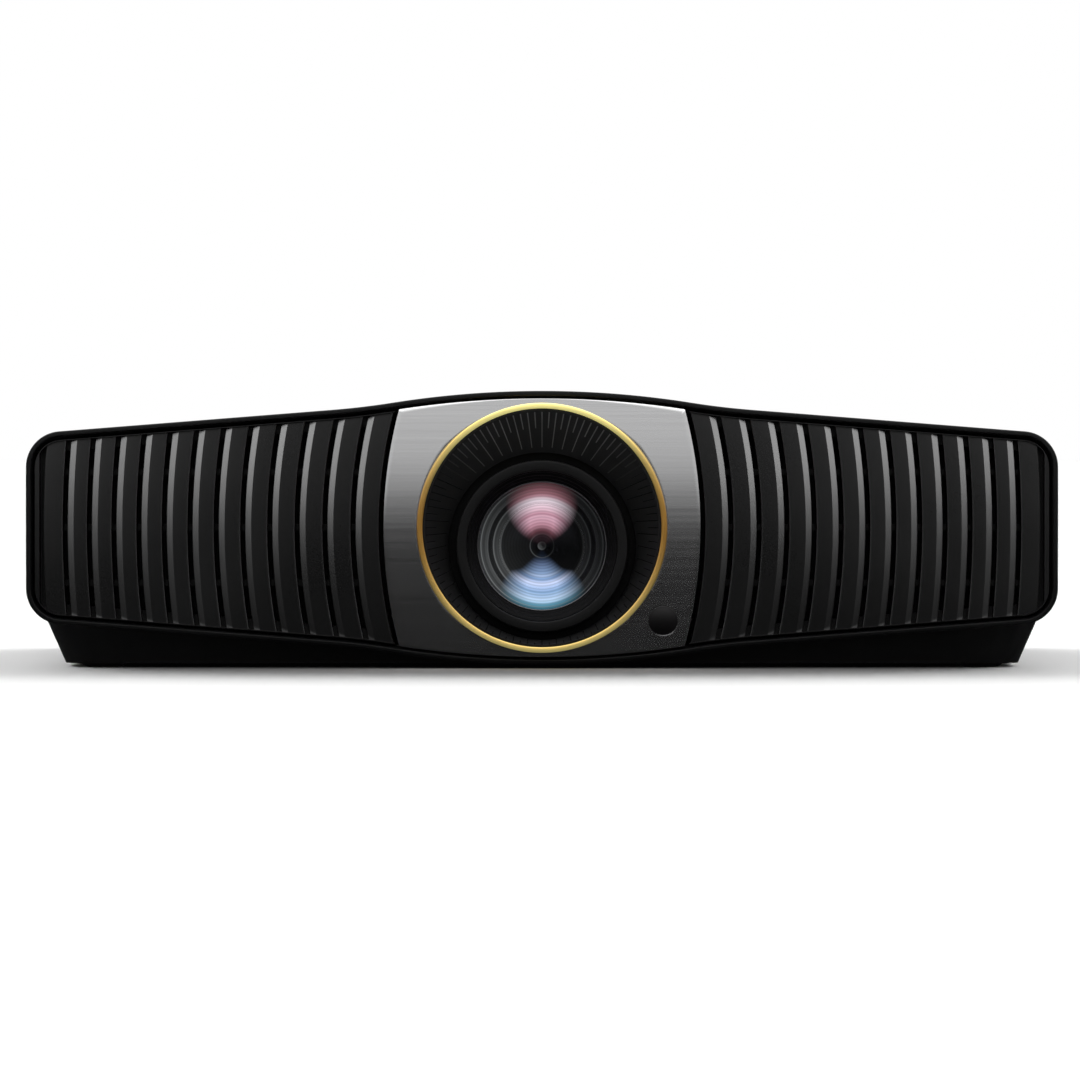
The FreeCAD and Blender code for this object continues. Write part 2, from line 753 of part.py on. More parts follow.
def make_imager_heat_sink():
    """The imaging chip's cooler behind the engine, with its carrier block in the engine's window."""
    y0 = engine_rear
    plate = block(-30, 30, y0, y0 + 4, lens_height - 26, lens_height + 26)
    chip = block(-15.5, 15.5, y0 - 3, y0 + 1, lens_height - 11.5, lens_height + 11.5)
    fins = [block(x, x + 1.4, y0 + 3, y0 + 30, lens_height - 26, lens_height + 26) for x in range(-29, 29, 5)]
    return fuse([plate, chip] + fins)


def make_power_supply():
    """The supply board with its transformers, capacitors and heat spreader on one bracket."""
    tray = block(supply_x0, supply_x1, supply_y0, supply_y1, supply_low, supply_low + 1.5)
    parts = [tray]
    top = supply_low + 1.4
    parts.append(block(supply_x0 + 10, supply_x0 + 50, supply_y0 + 20, supply_y0 + 60, top, top + 34))
    parts.append(block(supply_x0 + 60, supply_x0 + 92, supply_y0 + 24, supply_y0 + 54, top, top + 28))
    parts.append(block(supply_x0 + 6, supply_x0 + 9, supply_y0 + 70, supply_y1 - 20, top, top + 36))
    for k in range(3):
        parts.append(rod(11, Vector(supply_x0 + 30, supply_y0 + 90 + 26 * k, top), Z, 38))
        parts.append(rod(6.5, Vector(supply_x0 + 58, supply_y0 + 90 + 24 * k, top), Z, 24))
    parts.append(block(supply_x0 + 72, supply_x0 + 98, supply_y0 + 80, supply_y0 + 150, top, top + 20))
    return fuse(parts)


def make_main_board():
    """The signal board behind the sockets, with chips, a shielded tuner and a heat spreader."""
    top = board_low + board_thickness
    plate = block(board_x0, board_x1, board_y0, board_edge, board_low, top)
    parts = [plate]
    for x, y, sx, sy, h in (
        (-40, 20, 30, 30, 9),
        (20, 16, 24, 24, 3),
        (70, 20, 18, 30, 2),
        (110, 14, 34, 20, 6),
        (165, 20, 22, 22, 8),
        (-70, 58, 14, 14, 4),
    ):
        parts.append(block(x, x + sx, board_y0 + y, board_y0 + y + sy, top - 0.2, top + h))
    return fuse(parts)


board_edge = rear_face - rear_panel_thickness - 1.0


# ---------------------------------------------------------------- lens
def gear_outline(teeth, centre, y, turn):
    """A wheel outline with tapered teeth, in the plane at y. turn is the angle of the first tooth."""
    pitch_radius = gear_module * teeth / 2
    root, tip = pitch_radius - 1.2 * gear_module, pitch_radius + 0.8 * gear_module
    step = 2 * math.pi / teeth
    half_root, half_tip = step * tooth_share * 0.72, step * tooth_share * 0.34
    points = []
    for k in range(teeth):
        middle_angle = turn + k * step
        for radius, offset in ((root, -half_root), (tip, -half_tip), (tip, half_tip), (root, half_root)):
            a = middle_angle + offset
            points.append(centre + Vector(radius * math.cos(a), 0, radius * math.sin(a)))
    points = [Vector(p.x, y, p.z) for p in points]
    return Part.Face(Part.makePolygon(points + points[:1]))


def lens_gear(y):
    """A toothed ring that turns on the barrel, with a plain grip band beside the teeth."""
    centre = Vector(0, 0, lens_height)
    teeth = gear_outline(lens_ring_teeth, centre, y, 0).extrude(Vector(0, gear_width, 0))
    return teeth.cut(rod(barrel_radius + running_gap, Vector(0, y - 1, lens_height), Y, gear_width + 2))


focus_gear_y = front + 42.0
zoom_gear_y = front + 64.0
mount_plate_y = front + 104.0  # front face of the lens mount plate
focus_motor_angle = math.radians(45)
zoom_motor_angle = math.radians(135)
pinion_distance = gear_module * (lens_ring_teeth + pinion_teeth) / 2


def pinion_centre(angle):
    """Centre of the pinion that meets the lens rings at an angle round the lens."""
    return Vector(pinion_distance * math.cos(angle), 0, lens_height + pinion_distance * math.sin(angle))


def make_pinion(angle, y):
    """A pinion set so that one of its gaps faces a tooth of the ring, with its bore on the motor shaft."""
    centre = pinion_centre(angle)
    ring_step = 2 * math.pi / lens_ring_teeth
    ring_phase = angle - round(angle / ring_step) * ring_step  # contact direction past the nearest tooth
    pinion_step = 2 * math.pi / pinion_teeth
    turn = angle + math.pi + pinion_step / 2 + ring_phase * lens_ring_teeth / pinion_teeth
    wheel = gear_outline(pinion_teeth, centre, y, turn).extrude(Vector(0, gear_width, 0))
    return wheel.cut(rod(1.5 + running_gap, Vector(centre.x, y - 1, centre.z), Y, gear_width + 2))


def make_lens_motors():
    """The focus and zoom motors on the mount plate, each with its shaft."""
    motors = []
    for angle, gear_y in ((focus_motor_angle, focus_gear_y), (zoom_motor_angle, zoom_gear_y)):
        centre = pinion_centre(angle)
        body_y = gear_y + gear_width + 2
        body = rod(motor_radius, Vector(centre.x, body_y, centre.z), Y, mount_plate_y - body_y)
        shaft = rod(1.5, Vector(centre.x, gear_y - 1, centre.z), Y, body_y - gear_y + 2)
        motors.append(fuse([body, shaft]))
    return Part.makeCompound(motors)


def make_barrel():
    """The fixed lens tube, with a flange on the mount plate and a tail into the engine."""
    flange_y = mount_plate_y - 5
    points = [
        (barrel_bore, barrel_front),
        (barrel_radius, barrel_front),
        (barrel_radius, flange_y),
        (barrel_radius + 7, flange_y),
        (barrel_radius + 7, mount_plate_y),
        (barrel_tail_radius, mount_plate_y),
        (barrel_tail_radius, engine_front + 2),
        (barrel_tail_radius - 3, engine_front + 2),
        (barrel_tail_radius - 3, mount_plate_y - 8),
        (barrel_bore, mount_plate_y - 12),
    ]
    tube_body = lens_turned(points)
    for gear_y in (focus_gear_y, zoom_gear_y):
        for y in (gear_y - 2.1, gear_y + gear_width + 0.1):
            collar = tube(barrel_radius + 1.5, barrel_radius - 0.5, Vector(0, y, lens_height), Y, 2)
            tube_body = tube_body.fuse(collar)
    return tube_body.removeSplitter()


barrel_front = lens_front + cell_depth + 3.0
focus_travel = 1.5


def make_front_cell():
    """The front lens cell: the broad charcoal face, the seat of the front glass and the inner baffle."""
    y = lens_front
    back = y + cell_depth
    slide = barrel_bore - running_gap
    points = [
        (cell_radius - 0.6, y),
        (cell_radius, y + 0.6),
        (cell_radius, back - flange_thickness),
        (flange_radius, back - flange_thickness),
        (flange_radius, back),
        (slide, back),
        (slide, back + 24),
        (second_glass_radius + 2, back + 24),
        (second_glass_radius + 2, back + 12),
        (second_glass_radius, back + 12),
        (second_glass_radius, back + 10.5),
        (glass_radius - 3.5, y + glass_seat + 7.5),
        (glass_radius, y + glass_seat + 7.5),
        (glass_radius, y + 7.2),
        (glass_radius + 0.4, y + 6.4),
        (glass_radius + 1.8, y + 6.0),
        (cell_radius - cell_face_width, y + 1.2),
        (cell_radius - cell_face_width, y),
    ]
    return lens_turned(points)


glass_seat = 9.2
flange_radius = 48.6  # the light flange that closes the view past the lens face
flange_thickness = 1.6


def ball_cap(radius, curve, y, forwards):
    """A ball whose surface crosses the lens axis at y. Its middle lies behind y, or ahead of it."""
    centre_y = y + curve if forwards else y - curve
    return Part.makeSphere(curve, Vector(0, centre_y, lens_height))


def make_front_glass():
    """The front meniscus and the second lens, both held by the front cell."""
    edge_y = lens_front + glass_seat
    sag = glass_front_curve - math.sqrt(glass_front_curve**2 - glass_radius**2)
    apex = edge_y - sag
    blank = rod(glass_radius - 0.05, Vector(0, apex - 1, lens_height), Y, 40)
    blank = blank.common(ball_cap(glass_radius, glass_front_curve, apex, True))
    hollow = ball_cap(glass_radius, glass_back_curve, apex + glass_thickness, True)
    seat = rod(glass_radius + 1, Vector(0, edge_y + 7.45, lens_height), Y, 40)
    front_lens = blank.cut(hollow).cut(seat)
    y2 = lens_front + cell_depth + 12.0
    second = rod(second_glass_radius + 1.95, Vector(0, y2 + 0.1, lens_height), Y, 6)
    bulge = ball_cap(0, second_glass_curve, y2 - 3, True).common(
        rod(second_glass_radius - 0.5, Vector(0, y2 - 6, lens_height), Y, 8)
    )
    return Part.makeCompound([front_lens, second.fuse(bulge).removeSplitter()])


zoom_cell_y = front + 64.0
zoom_travel = 5.0


def make_zoom_cell():
    """The inner cell that slides in the barrel as the zoom ring turns."""
    y = zoom_cell_y
    slide = barrel_bore - running_gap
    return lens_turned([(slide, y), (slide, y + 20), (20, y + 20), (20, y + 11), (18, y + 11), (18, y + 9), (24, y)])


def make_zoom_glass():
    """The zoom group's lens, seated in its cell."""
    y = zoom_cell_y + 11
    disc = rod(19.95, Vector(0, y, lens_height), Y, 6)
    return disc.common(Part.makeSphere(40, Vector(0, y + 40 - 0.5, lens_height)))


# ---------------------------------------------------------------- lens shift
shift_gap = 11.0  # between the three plates, for rods and sleeves
shift_half = 56.0
sleeve_half = 4.7
level_rod_height = 44.0  # level rods above and below the lens axis
cross_slide_y = mount_plate_y + shift_plate + shift_gap
shift_base_y = cross_slide_y + shift_plate + shift_gap
rod_y_v = mount_plate_y + shift_plate + shift_gap / 2  # upright rods and screw
rod_y_h = cross_slide_y + shift_plate + shift_gap / 2  # level rods and screw
level_screw_z = lens_height + level_rod_height + 10.0


def plate_with_bore(y, half_x, half_z, bore):
    """A square plate round the lens axis with a round hole."""
    plate = block(-half_x, half_x, y, y + shift_plate, lens_height - half_z, lens_height + half_z)
    return plate.cut(rod(bore, Vector(0, y - 1, lens_height), Y, shift_plate + 2))


# Sleeves stand on a plate and run on the rods behind it. Ears hold the rods' ends.
def make_lens_mount():
    """The upright carriage: it carries the barrel and slides on two upright rods."""
    back = mount_plate_y + shift_plate
    parts = [plate_with_bore(mount_plate_y, shift_half, 52, barrel_tail_radius)]
    for sx in (-1, 1):
        x = sx * shift_rod_spread
        parts.append(block(x - 5, x + 5, back - 1, rod_y_v + sleeve_half, lens_height - 24, lens_height + 24))
    parts.append(block(-8, 8, back - 1, rod_y_v + sleeve_half, lens_height + 36, lens_height + 46))
    carriage = fuse(parts)
    for sx in (-1, 1):
        start = Vector(sx * shift_rod_spread, rod_y_v, lens_height - 60)
        carriage = carriage.cut(rod(shift_rod_radius + running_gap, start, Z, 120))
    return carriage.cut(rod(shift_screw_radius + running_gap, Vector(0, rod_y_v, lens_height + 30), Z, 30))


def make_cross_slide():
    """The level carriage: ears and rods for the lens mount in front, sleeves on the level rods behind."""
    back = cross_slide_y + shift_plate
    parts = [plate_with_bore(cross_slide_y, shift_half, 56, barrel_tail_radius + 5)]
    for sx in (-1, 1):
        x = sx * shift_rod_spread
        for z in (lens_height - 56, lens_height + 50):
            parts.append(block(x - 6, x + 6, rod_y_v - sleeve_half, cross_slide_y + 1, z, z + 6))
        parts.append(rod(shift_rod_radius, Vector(x, rod_y_v, lens_height - 54), Z, 108))
    parts.append(block(-9, 9, rod_y_v - sleeve_half, cross_slide_y + 1, lens_height + 50, lens_height + 56))
    for sz in (-1, 1):
        z = lens_height + sz * level_rod_height
        parts.append(block(-24, 24, back - 1, rod_y_h + sleeve_half, z - 5, z + 5))
    parts.append(block(-10, 10, back - 1, rod_y_h + sleeve_half, level_screw_z - 6, level_screw_z + 4))
    slide = fuse(parts)
    slide = slide.cut(rod(shift_screw_radius + running_gap, Vector(0, rod_y_v, lens_height + 48), Z, 10))
    slide = slide.cut(rod(shift_screw_radius + running_gap, Vector(-20, rod_y_h, level_screw_z), X, 40))
    for sz in (-1, 1):
        start = Vector(-70, rod_y_h, lens_height + sz * level_rod_height)
        slide = slide.cut(rod(shift_rod_radius + running_gap, start, X, 140))
    return slide


def make_shift_base():
    """The fixed frame on the engine: ears that hold the level rods and the level screw."""
    back = engine_front - 4
    plate = block(-60, 60, shift_base_y, back, lens_height - 52, lens_height + 52)
    parts = [plate.cut(rod(barrel_tail_radius + 14, Vector(0, shift_base_y - 1, lens_height), Y, 60))]
    for sz in (-1, 1):
        z = lens_height + sz * level_rod_height
        top = level_screw_z + 5 if sz > 0 else z + 5
        for x in (-60, 54):
            parts.append(block(x, x + 6, rod_y_h - 5, shift_base_y + 1, z - 5, top))
        parts.append(rod(shift_rod_radius, Vector(-60, rod_y_h, z), X, 120))
    base = fuse(parts)
    return base.cut(rod(shift_screw_radius + running_gap, Vector(-70, rod_y_h, level_screw_z), X, 140))


# ---------------------------------------------------------------- feet
def make_foot_screw(x, y):
    """The foot's disc and its threaded shank."""
    disc = rod(foot_radius, Vector(x, y, foot_pad_height), Z, foot_disc_height)
    shank = rod(foot_screw_radius, Vector(x, y, foot_pad_height), Z, foot_screw_length)
    screw = fuse([disc, shank])
    for k in range(24):
        a = 2 * math.pi * k / 24
        place = Vector(x + foot_radius * math.cos(a), y + foot_radius * math.sin(a), 0)
        screw = screw.cut(rod(0.6, place, Z, foot_pad_height + foot_disc_height + 0.2))
    return screw


def make_foot_pad(x, y):
    """The rubber pad under the disc, rounded at its edge."""
    low = foot_radius * 0.55
    mid_r = foot_radius * 0.84
    profile = Part.Face(
        Part.Wire(
            [
                Part.makeLine(Vector(0, 0, 0), Vector(low, 0, 0)),
                Part.Arc(
                    Vector(low, 0, 0),
                    Vector(mid_r, 0, foot_pad_height * 0.42),
                    Vector(foot_radius - 0.3, 0, foot_pad_height),
                ).toShape(),
                Part.makeLine(Vector(foot_radius - 0.3, 0, foot_pad_height), Vector(0, 0, foot_pad_height)),
                Part.makeLine(Vector(0, 0, foot_pad_height), Vector(0, 0, 0)),
            ]
        )
    )
    pad = profile.revolve(Vector(0, 0, 0), Z, 360)
    pad.translate(Vector(x, y, 0))
    return pad


# ---------------------------------------------------------------- keypad
def keypad_placement():
    """From the keypad's own flat frame to the right slope of the top cover."""
    y = rear - keypad_from_rear
    base = Vector(keypad_x, y, slope_height(keypad_x, case_inset))
    return Placement(base, Rotation(Y, slope_angle))


def on_keypad(shape):
    """Moves a piece from the keypad's flat frame to its place."""
    moved = shape.copy()
    moved.Placement = keypad_placement()
    return moved


def local_block(length, breadth, z0, z1):
    """A box about the keypad's middle, moved to its place."""
    return on_keypad(block(-length / 2, length / 2, -breadth / 2, breadth / 2, z0, z1))


power_key_x = -27.0
arrow_inner, arrow_outer = 8.5, 16.5
enter_radius = 6.5
dial_x = 12.0
power_key_radius = 5.5


def key_blank(kind):
    """Outline of one key as a solid from z = -10 to z = 10, grown by nothing."""
    if kind == "power":
        return rod(power_key_radius, Vector(power_key_x, 0, -10), Z, 20)
    if kind == "enter":
        return rod(enter_radius, Vector(dial_x, 0, -10), Z, 20)
    turn = {"right": 0, "up": 90, "left": 180, "down": 270}[kind]
    ring = tube(arrow_outer, arrow_inner, Vector(dial_x, 0, -10), Z, 20)
    wedge = Part.Face(
        Part.makePolygon([Vector(0, 0, -10), Vector(40, 34, -10), Vector(40, -34, -10), Vector(0, 0, -10)])
    ).extrude(Vector(0, 0, 20))
    wedge.rotate(Vector(0, 0, 0), Z, turn)
    wedge.translate(Vector(dial_x, 0, 0))
    return ring.common(wedge)


KEYS = ("power", "enter", "up", "down", "left", "right")


def make_key(kind):
    """A key that stands a little proud of the keypad plate, with a tail that reaches its switch."""
    return on_keypad(key_blank(kind).common(block(-60, 60, -40, 40, -keypad_plate - 1.2, key_proud)))


def make_keypad():
    """The plate with key holes, and the switch board hung below it."""
    half_x, half_y = (keypad_length - 4) / 2 - 0.2, (keypad_width - 4) / 2 - 0.2
    plate = block(-half_x, half_x, -half_y, half_y, -keypad_plate, 0)
    plate = plate.cut(rod(power_key_radius + key_gap, Vector(power_key_x, 0, -20), Z, 40))
    plate = plate.cut(rod(enter_radius + key_gap, Vector(dial_x, 0, -20), Z, 40))
    ring = tube(arrow_outer + key_gap, arrow_inner - key_gap, Vector(dial_x, 0, -20), Z, 40)
    plate = plate.cut(ring)
    floor = block(-half_x, half_x, -half_y, half_y, -keypad_plate - 4.5, -keypad_plate - 2.6)
    walls = block(-half_x, half_x, -half_y, half_y, -keypad_plate - 3, -0.2).cut(
        block(-half_x + 1.5, half_x - 1.5, -half_y + 1.5, half_y - 1.5, -20, 20)
    )
    bridge = tube(arrow_inner - key_gap, enter_radius + key_gap, Vector(dial_x, 0, -keypad_plate - 3), Z, keypad_plate + 3)
    flange = block(-half_x - 2, half_x + 2, -half_y - 2, half_y + 2, -keypad_plate - 4.5, -wall * 1.04).cut(
        block(-half_x + 0.5, half_x - 0.5, -half_y + 0.5, half_y - 0.5, -20, 20)
    )
    keypad = fuse([plate, walls, floor, bridge, flange])
    for k in range(3):
        x = power_key_x + (k - 1) * 7
        keypad = keypad.cut(rod(light_radius, Vector(x, light_y, -20), Z, 40))
    return on_keypad(keypad)


light_radius = 1.2
light_y = 13.0


def make_lights():
    """Three light pipes beside the power key."""
    pins = [
        rod(light_radius, Vector(power_key_x + (k - 1) * 7, light_y, -keypad_plate - 4.5), Z, keypad_plate + 4.6)
        for k in range(3)
    ]
    return Part.makeCompound([on_keypad(pin) for pin in pins])


# ---------------------------------------------------------------- rear panel and sockets
panel_back = rear_face - rear_panel_thickness
socket_z = board_low + board_thickness
hdmi_places = (-34.0, -8.0)
usb_places = (20.0, 42.0, 64.0)
lan_x = 92.0
serial_x = 134.0
jack_places = (172.0, 188.0)
inlet_x, inlet_z = -160.0, 40.0
hdmi_size = (15.0, 6.0)
usb_size = (14.4, 7.0)
lan_size = (16.0, 13.5)
serial_size = (19.0, 10.5)
jack_radius = 4.0
inlet_size = (27.6, 20.0)
socket_gap = 0.3


def upright_block(x, z0, size, y0, y1):
    """A box of size (wide, high) standing on z0, from y0 to y1."""
    return block(x - size[0] / 2, x + size[0] / 2, y0, y1, z0, z0 + size[1])


def hollow_socket(x, z0, size, skin, back, front_y):
    """A socket shell, open towards the back of the projector."""
    shell = upright_block(x, z0, size, back, front_y)
    inner = upright_block(x, z0 + skin, (size[0] - 2 * skin, size[1] - 2 * skin), back + 1.5, front_y + 1)
    return shell.cut(inner)


def make_hdmi_and_usb():
    """Two video sockets and three data sockets, each a metal shell with its tongue."""
    sockets = []
    mouth = rear_face + 0.4
    for x in hdmi_places:
        shell = hollow_socket(x, socket_z, hdmi_size, 0.6, mouth - 13, mouth)
        tongue = block(x - 5.6, x + 5.6, mouth - 12, mouth - 1.5, socket_z + 2.4, socket_z + 3.7)
        sockets.append(fuse([shell, tongue]))
    for x in usb_places:
        shell = hollow_socket(x, socket_z, usb_size, 0.6, mouth - 16, mouth)
        tongue = block(x - 5.7, x + 5.7, mouth - 15, mouth - 1.2, socket_z + 4.0, socket_z + 5.8)
        sockets.append(fuse([shell, tongue]))
    return Part.makeCompound(sockets)


def make_lan_socket():
    """The network socket, with the notch for the plug's latch."""
    mouth = rear_face + 0.4
    shell = hollow_socket(lan_x, socket_z, lan_size, 1.6, mouth - 18, mouth)
    return shell.cut(block(lan_x - 3.2, lan_x + 3.2, mouth - 6, mouth + 1, socket_z + 1.0, socket_z + 3))


def make_serial_socket():
    """The nine-pin control socket: a shell with its pins on a flange."""
    mouth = rear_face + 5.0
    z_mid = socket_z + serial_size[1] / 2 + 1
    shell = upright_block(serial_x, z_mid - 4.6, (17.6, 9.2), rear_face - 2, mouth)
    shell = shell.cut(upright_block(serial_x, z_mid - 4.0, (16.4, 8.0), rear_face, mouth + 1))
    base = upright_block(serial_x, socket_z, (18.4, 12.0), rear_face - 12, rear_face - rear_panel_thickness)
    flange = upright_block(serial_x, z_mid - 6.2, (31, 12.4), rear_face, rear_face + 0.8)
    flange = flange.cut(upright_block(serial_x, z_mid - 4.3, (17.0, 8.6), rear_face - 1, mouth))
    parts = [shell, base, flange]
    for row, count in ((1.42, 5), (-1.42, 4)):
        for k in range(count):
            x = serial_x + (k - (count - 1) / 2) * 2.76
            parts.append(rod(0.5, Vector(x, rear_face - 1, z_mid + row), Y, 5.2))
    for sx in (-1, 1):
        parts.append(rod(2.4, Vector(serial_x + sx * 12.5, rear_face + 0.5, z_mid), Y, 3.5))
    return fuse(parts)


def make_jacks():
    """The trigger jack and the audio jack."""
    jacks = []
    for x in jack_places:
        z = socket_z + 6
        body = upright_block(x, socket_z, (11, 12), rear_face - 15, rear_face - rear_panel_thickness)
        snout = rod(jack_radius, Vector(x, rear_face - rear_panel_thickness - 0.5, z), Y, rear_panel_thickness + 1.6)
        jack = fuse([body, snout]).cut(rod(1.8, Vector(x, rear_face - 13, z), Y, 20))
        jacks.append(jack)
    return Part.makeCompound(jacks)


def make_power_inlet():
    """The mains inlet: a moulded cup with three blades."""
    w, h = inlet_size
    z0 = inlet_z - h / 2
    flange = upright_block(inlet_x, z0 - 1.5, (w + 3, h + 3), rear_face, rear_face + 1.6)
    body = upright_block(inlet_x, z0, (w, h), rear_face - 20, rear_face + 1)
    cup = fuse([flange, body]).cut(upright_block(inlet_x, z0 + 1.6, (w - 3.2, h - 3.2), rear_face - 16, rear_face + 3))
    blades = [
        block(inlet_x + dx - 1, inlet_x + dx + 1, rear_face - 17, rear_face - 2, inlet_z + dz - 2, inlet_z + dz + 2)
        for dx, dz in ((-7, -2), (7, -2), (0, 4))
    ]
    return fuse([cup] + blades)


def make_rear_panel():
    """The plate at the back with a cut-out for every socket and a row of vents."""
    shape = rear_mouth(0.25, panel_back, rear_face)
    g = socket_gap
    cuts = []
    for x in hdmi_places:
        cuts.append(upright_block(x, socket_z - g, (hdmi_size[0] + 2 * g, hdmi_size[1] + 2 * g), front, rear))
    for x in usb_places:
        cuts.append(upright_block(x, socket_z - g, (usb_size[0] + 2 * g, usb_size[1] + 2 * g), front, rear))
    cuts.append(upright_block(lan_x, socket_z - g, (lan_size[0] + 2 * g, lan_size[1] + 2 * g), front, rear))
    z_mid = socket_z + serial_size[1] / 2 + 1
    cuts.append(upright_block(serial_x, z_mid - 4.6 - g, (17.6 + 2 * g, 9.2 + 2 * g), front, rear))
    for x in jack_places:
        cuts.append(rod(jack_radius + g, Vector(x, front, socket_z + 6), Y, depth))
    w, h = inlet_size
    cuts.append(upright_block(inlet_x, inlet_z - h / 2 - g, (w + 2 * g, h + 2 * g), front, rear))
    for x, z in rear_screw_places():
        cuts.append(rod(case_screw_radius + 0.1, Vector(x, front, z), Y, depth))
    for k in range(rear_vents):
        x = (k - (rear_vents - 1) / 2) * rear_vent_pitch
        cuts.append(upright_block(x, rear_vent_low, (rear_vent_width, rear_vent_high), front, rear))
    return shape.cut(Part.makeCompound(cuts))


rear_vents = 37
rear_vent_pitch = 7.0
rear_vent_width = 3.2
rear_vent_low = 68.0
rear_vent_high = 34.0


def screw(head_at, axis, length):
    """A cross-head screw: its head stands on head_at and its shank runs along axis."""
    head = rod(screw_head_radius, head_at - axis * screw_head, axis, screw_head)
    shank = rod(case_screw_radius, head_at - axis * 0.2, axis, length)
    body = fuse([head, shank])
    across = X if abs(axis.x) < 0.5 else Z
    other = axis.cross(across)
    for a, b in ((across, other), (other, across)):
        corner = head_at - axis * (screw_head + 0.5) - a * 1.8 - b * 0.35
        slot = [corner, corner + a * 3.6, corner + a * 3.6 + b * 0.7, corner + b * 0.7, corner]
        body = body.cut(Part.Face(Part.makePolygon(slot)).extrude(axis * 1.3))
    return body


def make_screws():
    """The rear panel's screws and the long ones that close the case."""
    screws = [screw(Vector(x, rear_face, z), Y * -1, 8) for x, z in rear_screw_places()]
    screws += [screw(Vector(x, y, case_screw_seat), Z, 18) for x, y in post_places()]
    return Part.makeCompound(screws)


def make_inserts():
    """Brass inserts for the ceiling mount."""
    return Part.makeCompound(
        [tube(insert_radius, mount_hole_radius, Vector(x, y, foot_gap), Z, insert_length) for x, y in mount_places()]
    )


def make_shift_screws():
    """The level and the upright lead screw, each with its drive knob gear."""
    level = fuse(
        [
            rod(shift_screw_radius, Vector(-60, rod_y_h, level_screw_z), X, 120),
            rod(5.0, Vector(46, rod_y_h, level_screw_z), X, 6),
        ]
    )
    upright = fuse(
        [
            rod(shift_screw_radius, Vector(0, rod_y_v, lens_height + 33), Z, 32),
            rod(5.0, Vector(0, rod_y_v, lens_height + 57), Z, 6),
        ]
    )
    return level, upright


# ---------------------------------------------------------------- build
def main():
    os.makedirs("parts", exist_ok=True)
    save("front_bezel", make_bezel())
    grille = make_grille()
    save("right_grille", grille)
    save("left_grille", mirror_x(grille))
    save("dust_filters", make_dust_filters())
    save("centre_panel", make_panel())
    save("front_ir_window", make_ir_window())
    save("lens_trim_ring", make_trim_ring())
    save("lens_surround", make_surround())
    top, bottom = make_case()
    save("top_cover", top)
    save("bottom_case", bottom)
    save("rear_panel", make_rear_panel())
    save("hdmi_and_usb_sockets", make_hdmi_and_usb())
    save("lan_socket", make_lan_socket())
    save("serial_socket", make_serial_socket())
    save("jack_sockets", make_jacks())
    save("power_inlet", make_power_inlet())
    save("case_screws", make_screws())
    save("mount_inserts", make_inserts())
    save("main_board", make_main_board())
    save("power_supply", make_power_supply())
    save("optical_engine", make_engine())
    save("phosphor_wheel", make_phosphor_wheel())
    save("laser_module", make_laser_module())
    save("laser_heat_sink", make_laser_heat_sink())
    save("heat_pipes", make_heat_pipes())
    save("imager_heat_sink", make_imager_heat_sink())
    save("fan_frames", make_fan_frames())
    for name, x in zip(("left_impeller", "inner_impeller", "outer_impeller"), fan_places()):
        save(name, make_impeller(x))
    save("shift_base", make_shift_base())
    save("shift_cross_slide", make_cross_slide())
    save("lens_mount", make_lens_mount())
    level_screw, upright_screw = make_shift_screws()
    save("horizontal_shift_screw", level_screw)
    save("vertical_shift_screw", upright_screw)
    save("lens_barrel", make_barrel())
    save("lens_motors", make_lens_motors())
    save("focus_ring", lens_gear(focus_gear_y))
    save("zoom_ring", lens_gear(zoom_gear_y))
    save("focus_pinion", make_pinion(focus_motor_angle, focus_gear_y))
    save("zoom_pinion", make_pinion(zoom_motor_angle, zoom_gear_y))
    save("front_lens_cell", make_front_cell())
    save("front_lens_glass", make_front_glass())
    save("zoom_lens_cell", make_zoom_cell())
    save("zoom_lens_glass", make_zoom_glass())
    save("keypad", make_keypad())
    save("status_lights", make_lights())
    for kind in KEYS:
        save(kind + "_key", make_key(kind))
    for name, (x, y) in zip(("front_left", "front_right", "rear_left", "rear_right"), foot_places()):
        save(name + "_foot_screw", make_foot_screw(x, y))
        save(name + "_foot_pad", make_foot_pad(x, y))


main()
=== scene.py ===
# %% [markdown]
# # A home cinema projector, from the face back
# The projector is a low black box with a shaped face: bowed upright fins left and right, a brushed
# metal plate in the middle, and a lens that sits low inside a gold ring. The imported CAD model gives
# the overall sizes and the bodies. This lesson makes the visible skins again as numpy surfaces, with the
# small rounded edges that catch light on a real moulding, and gives every piece its finish.

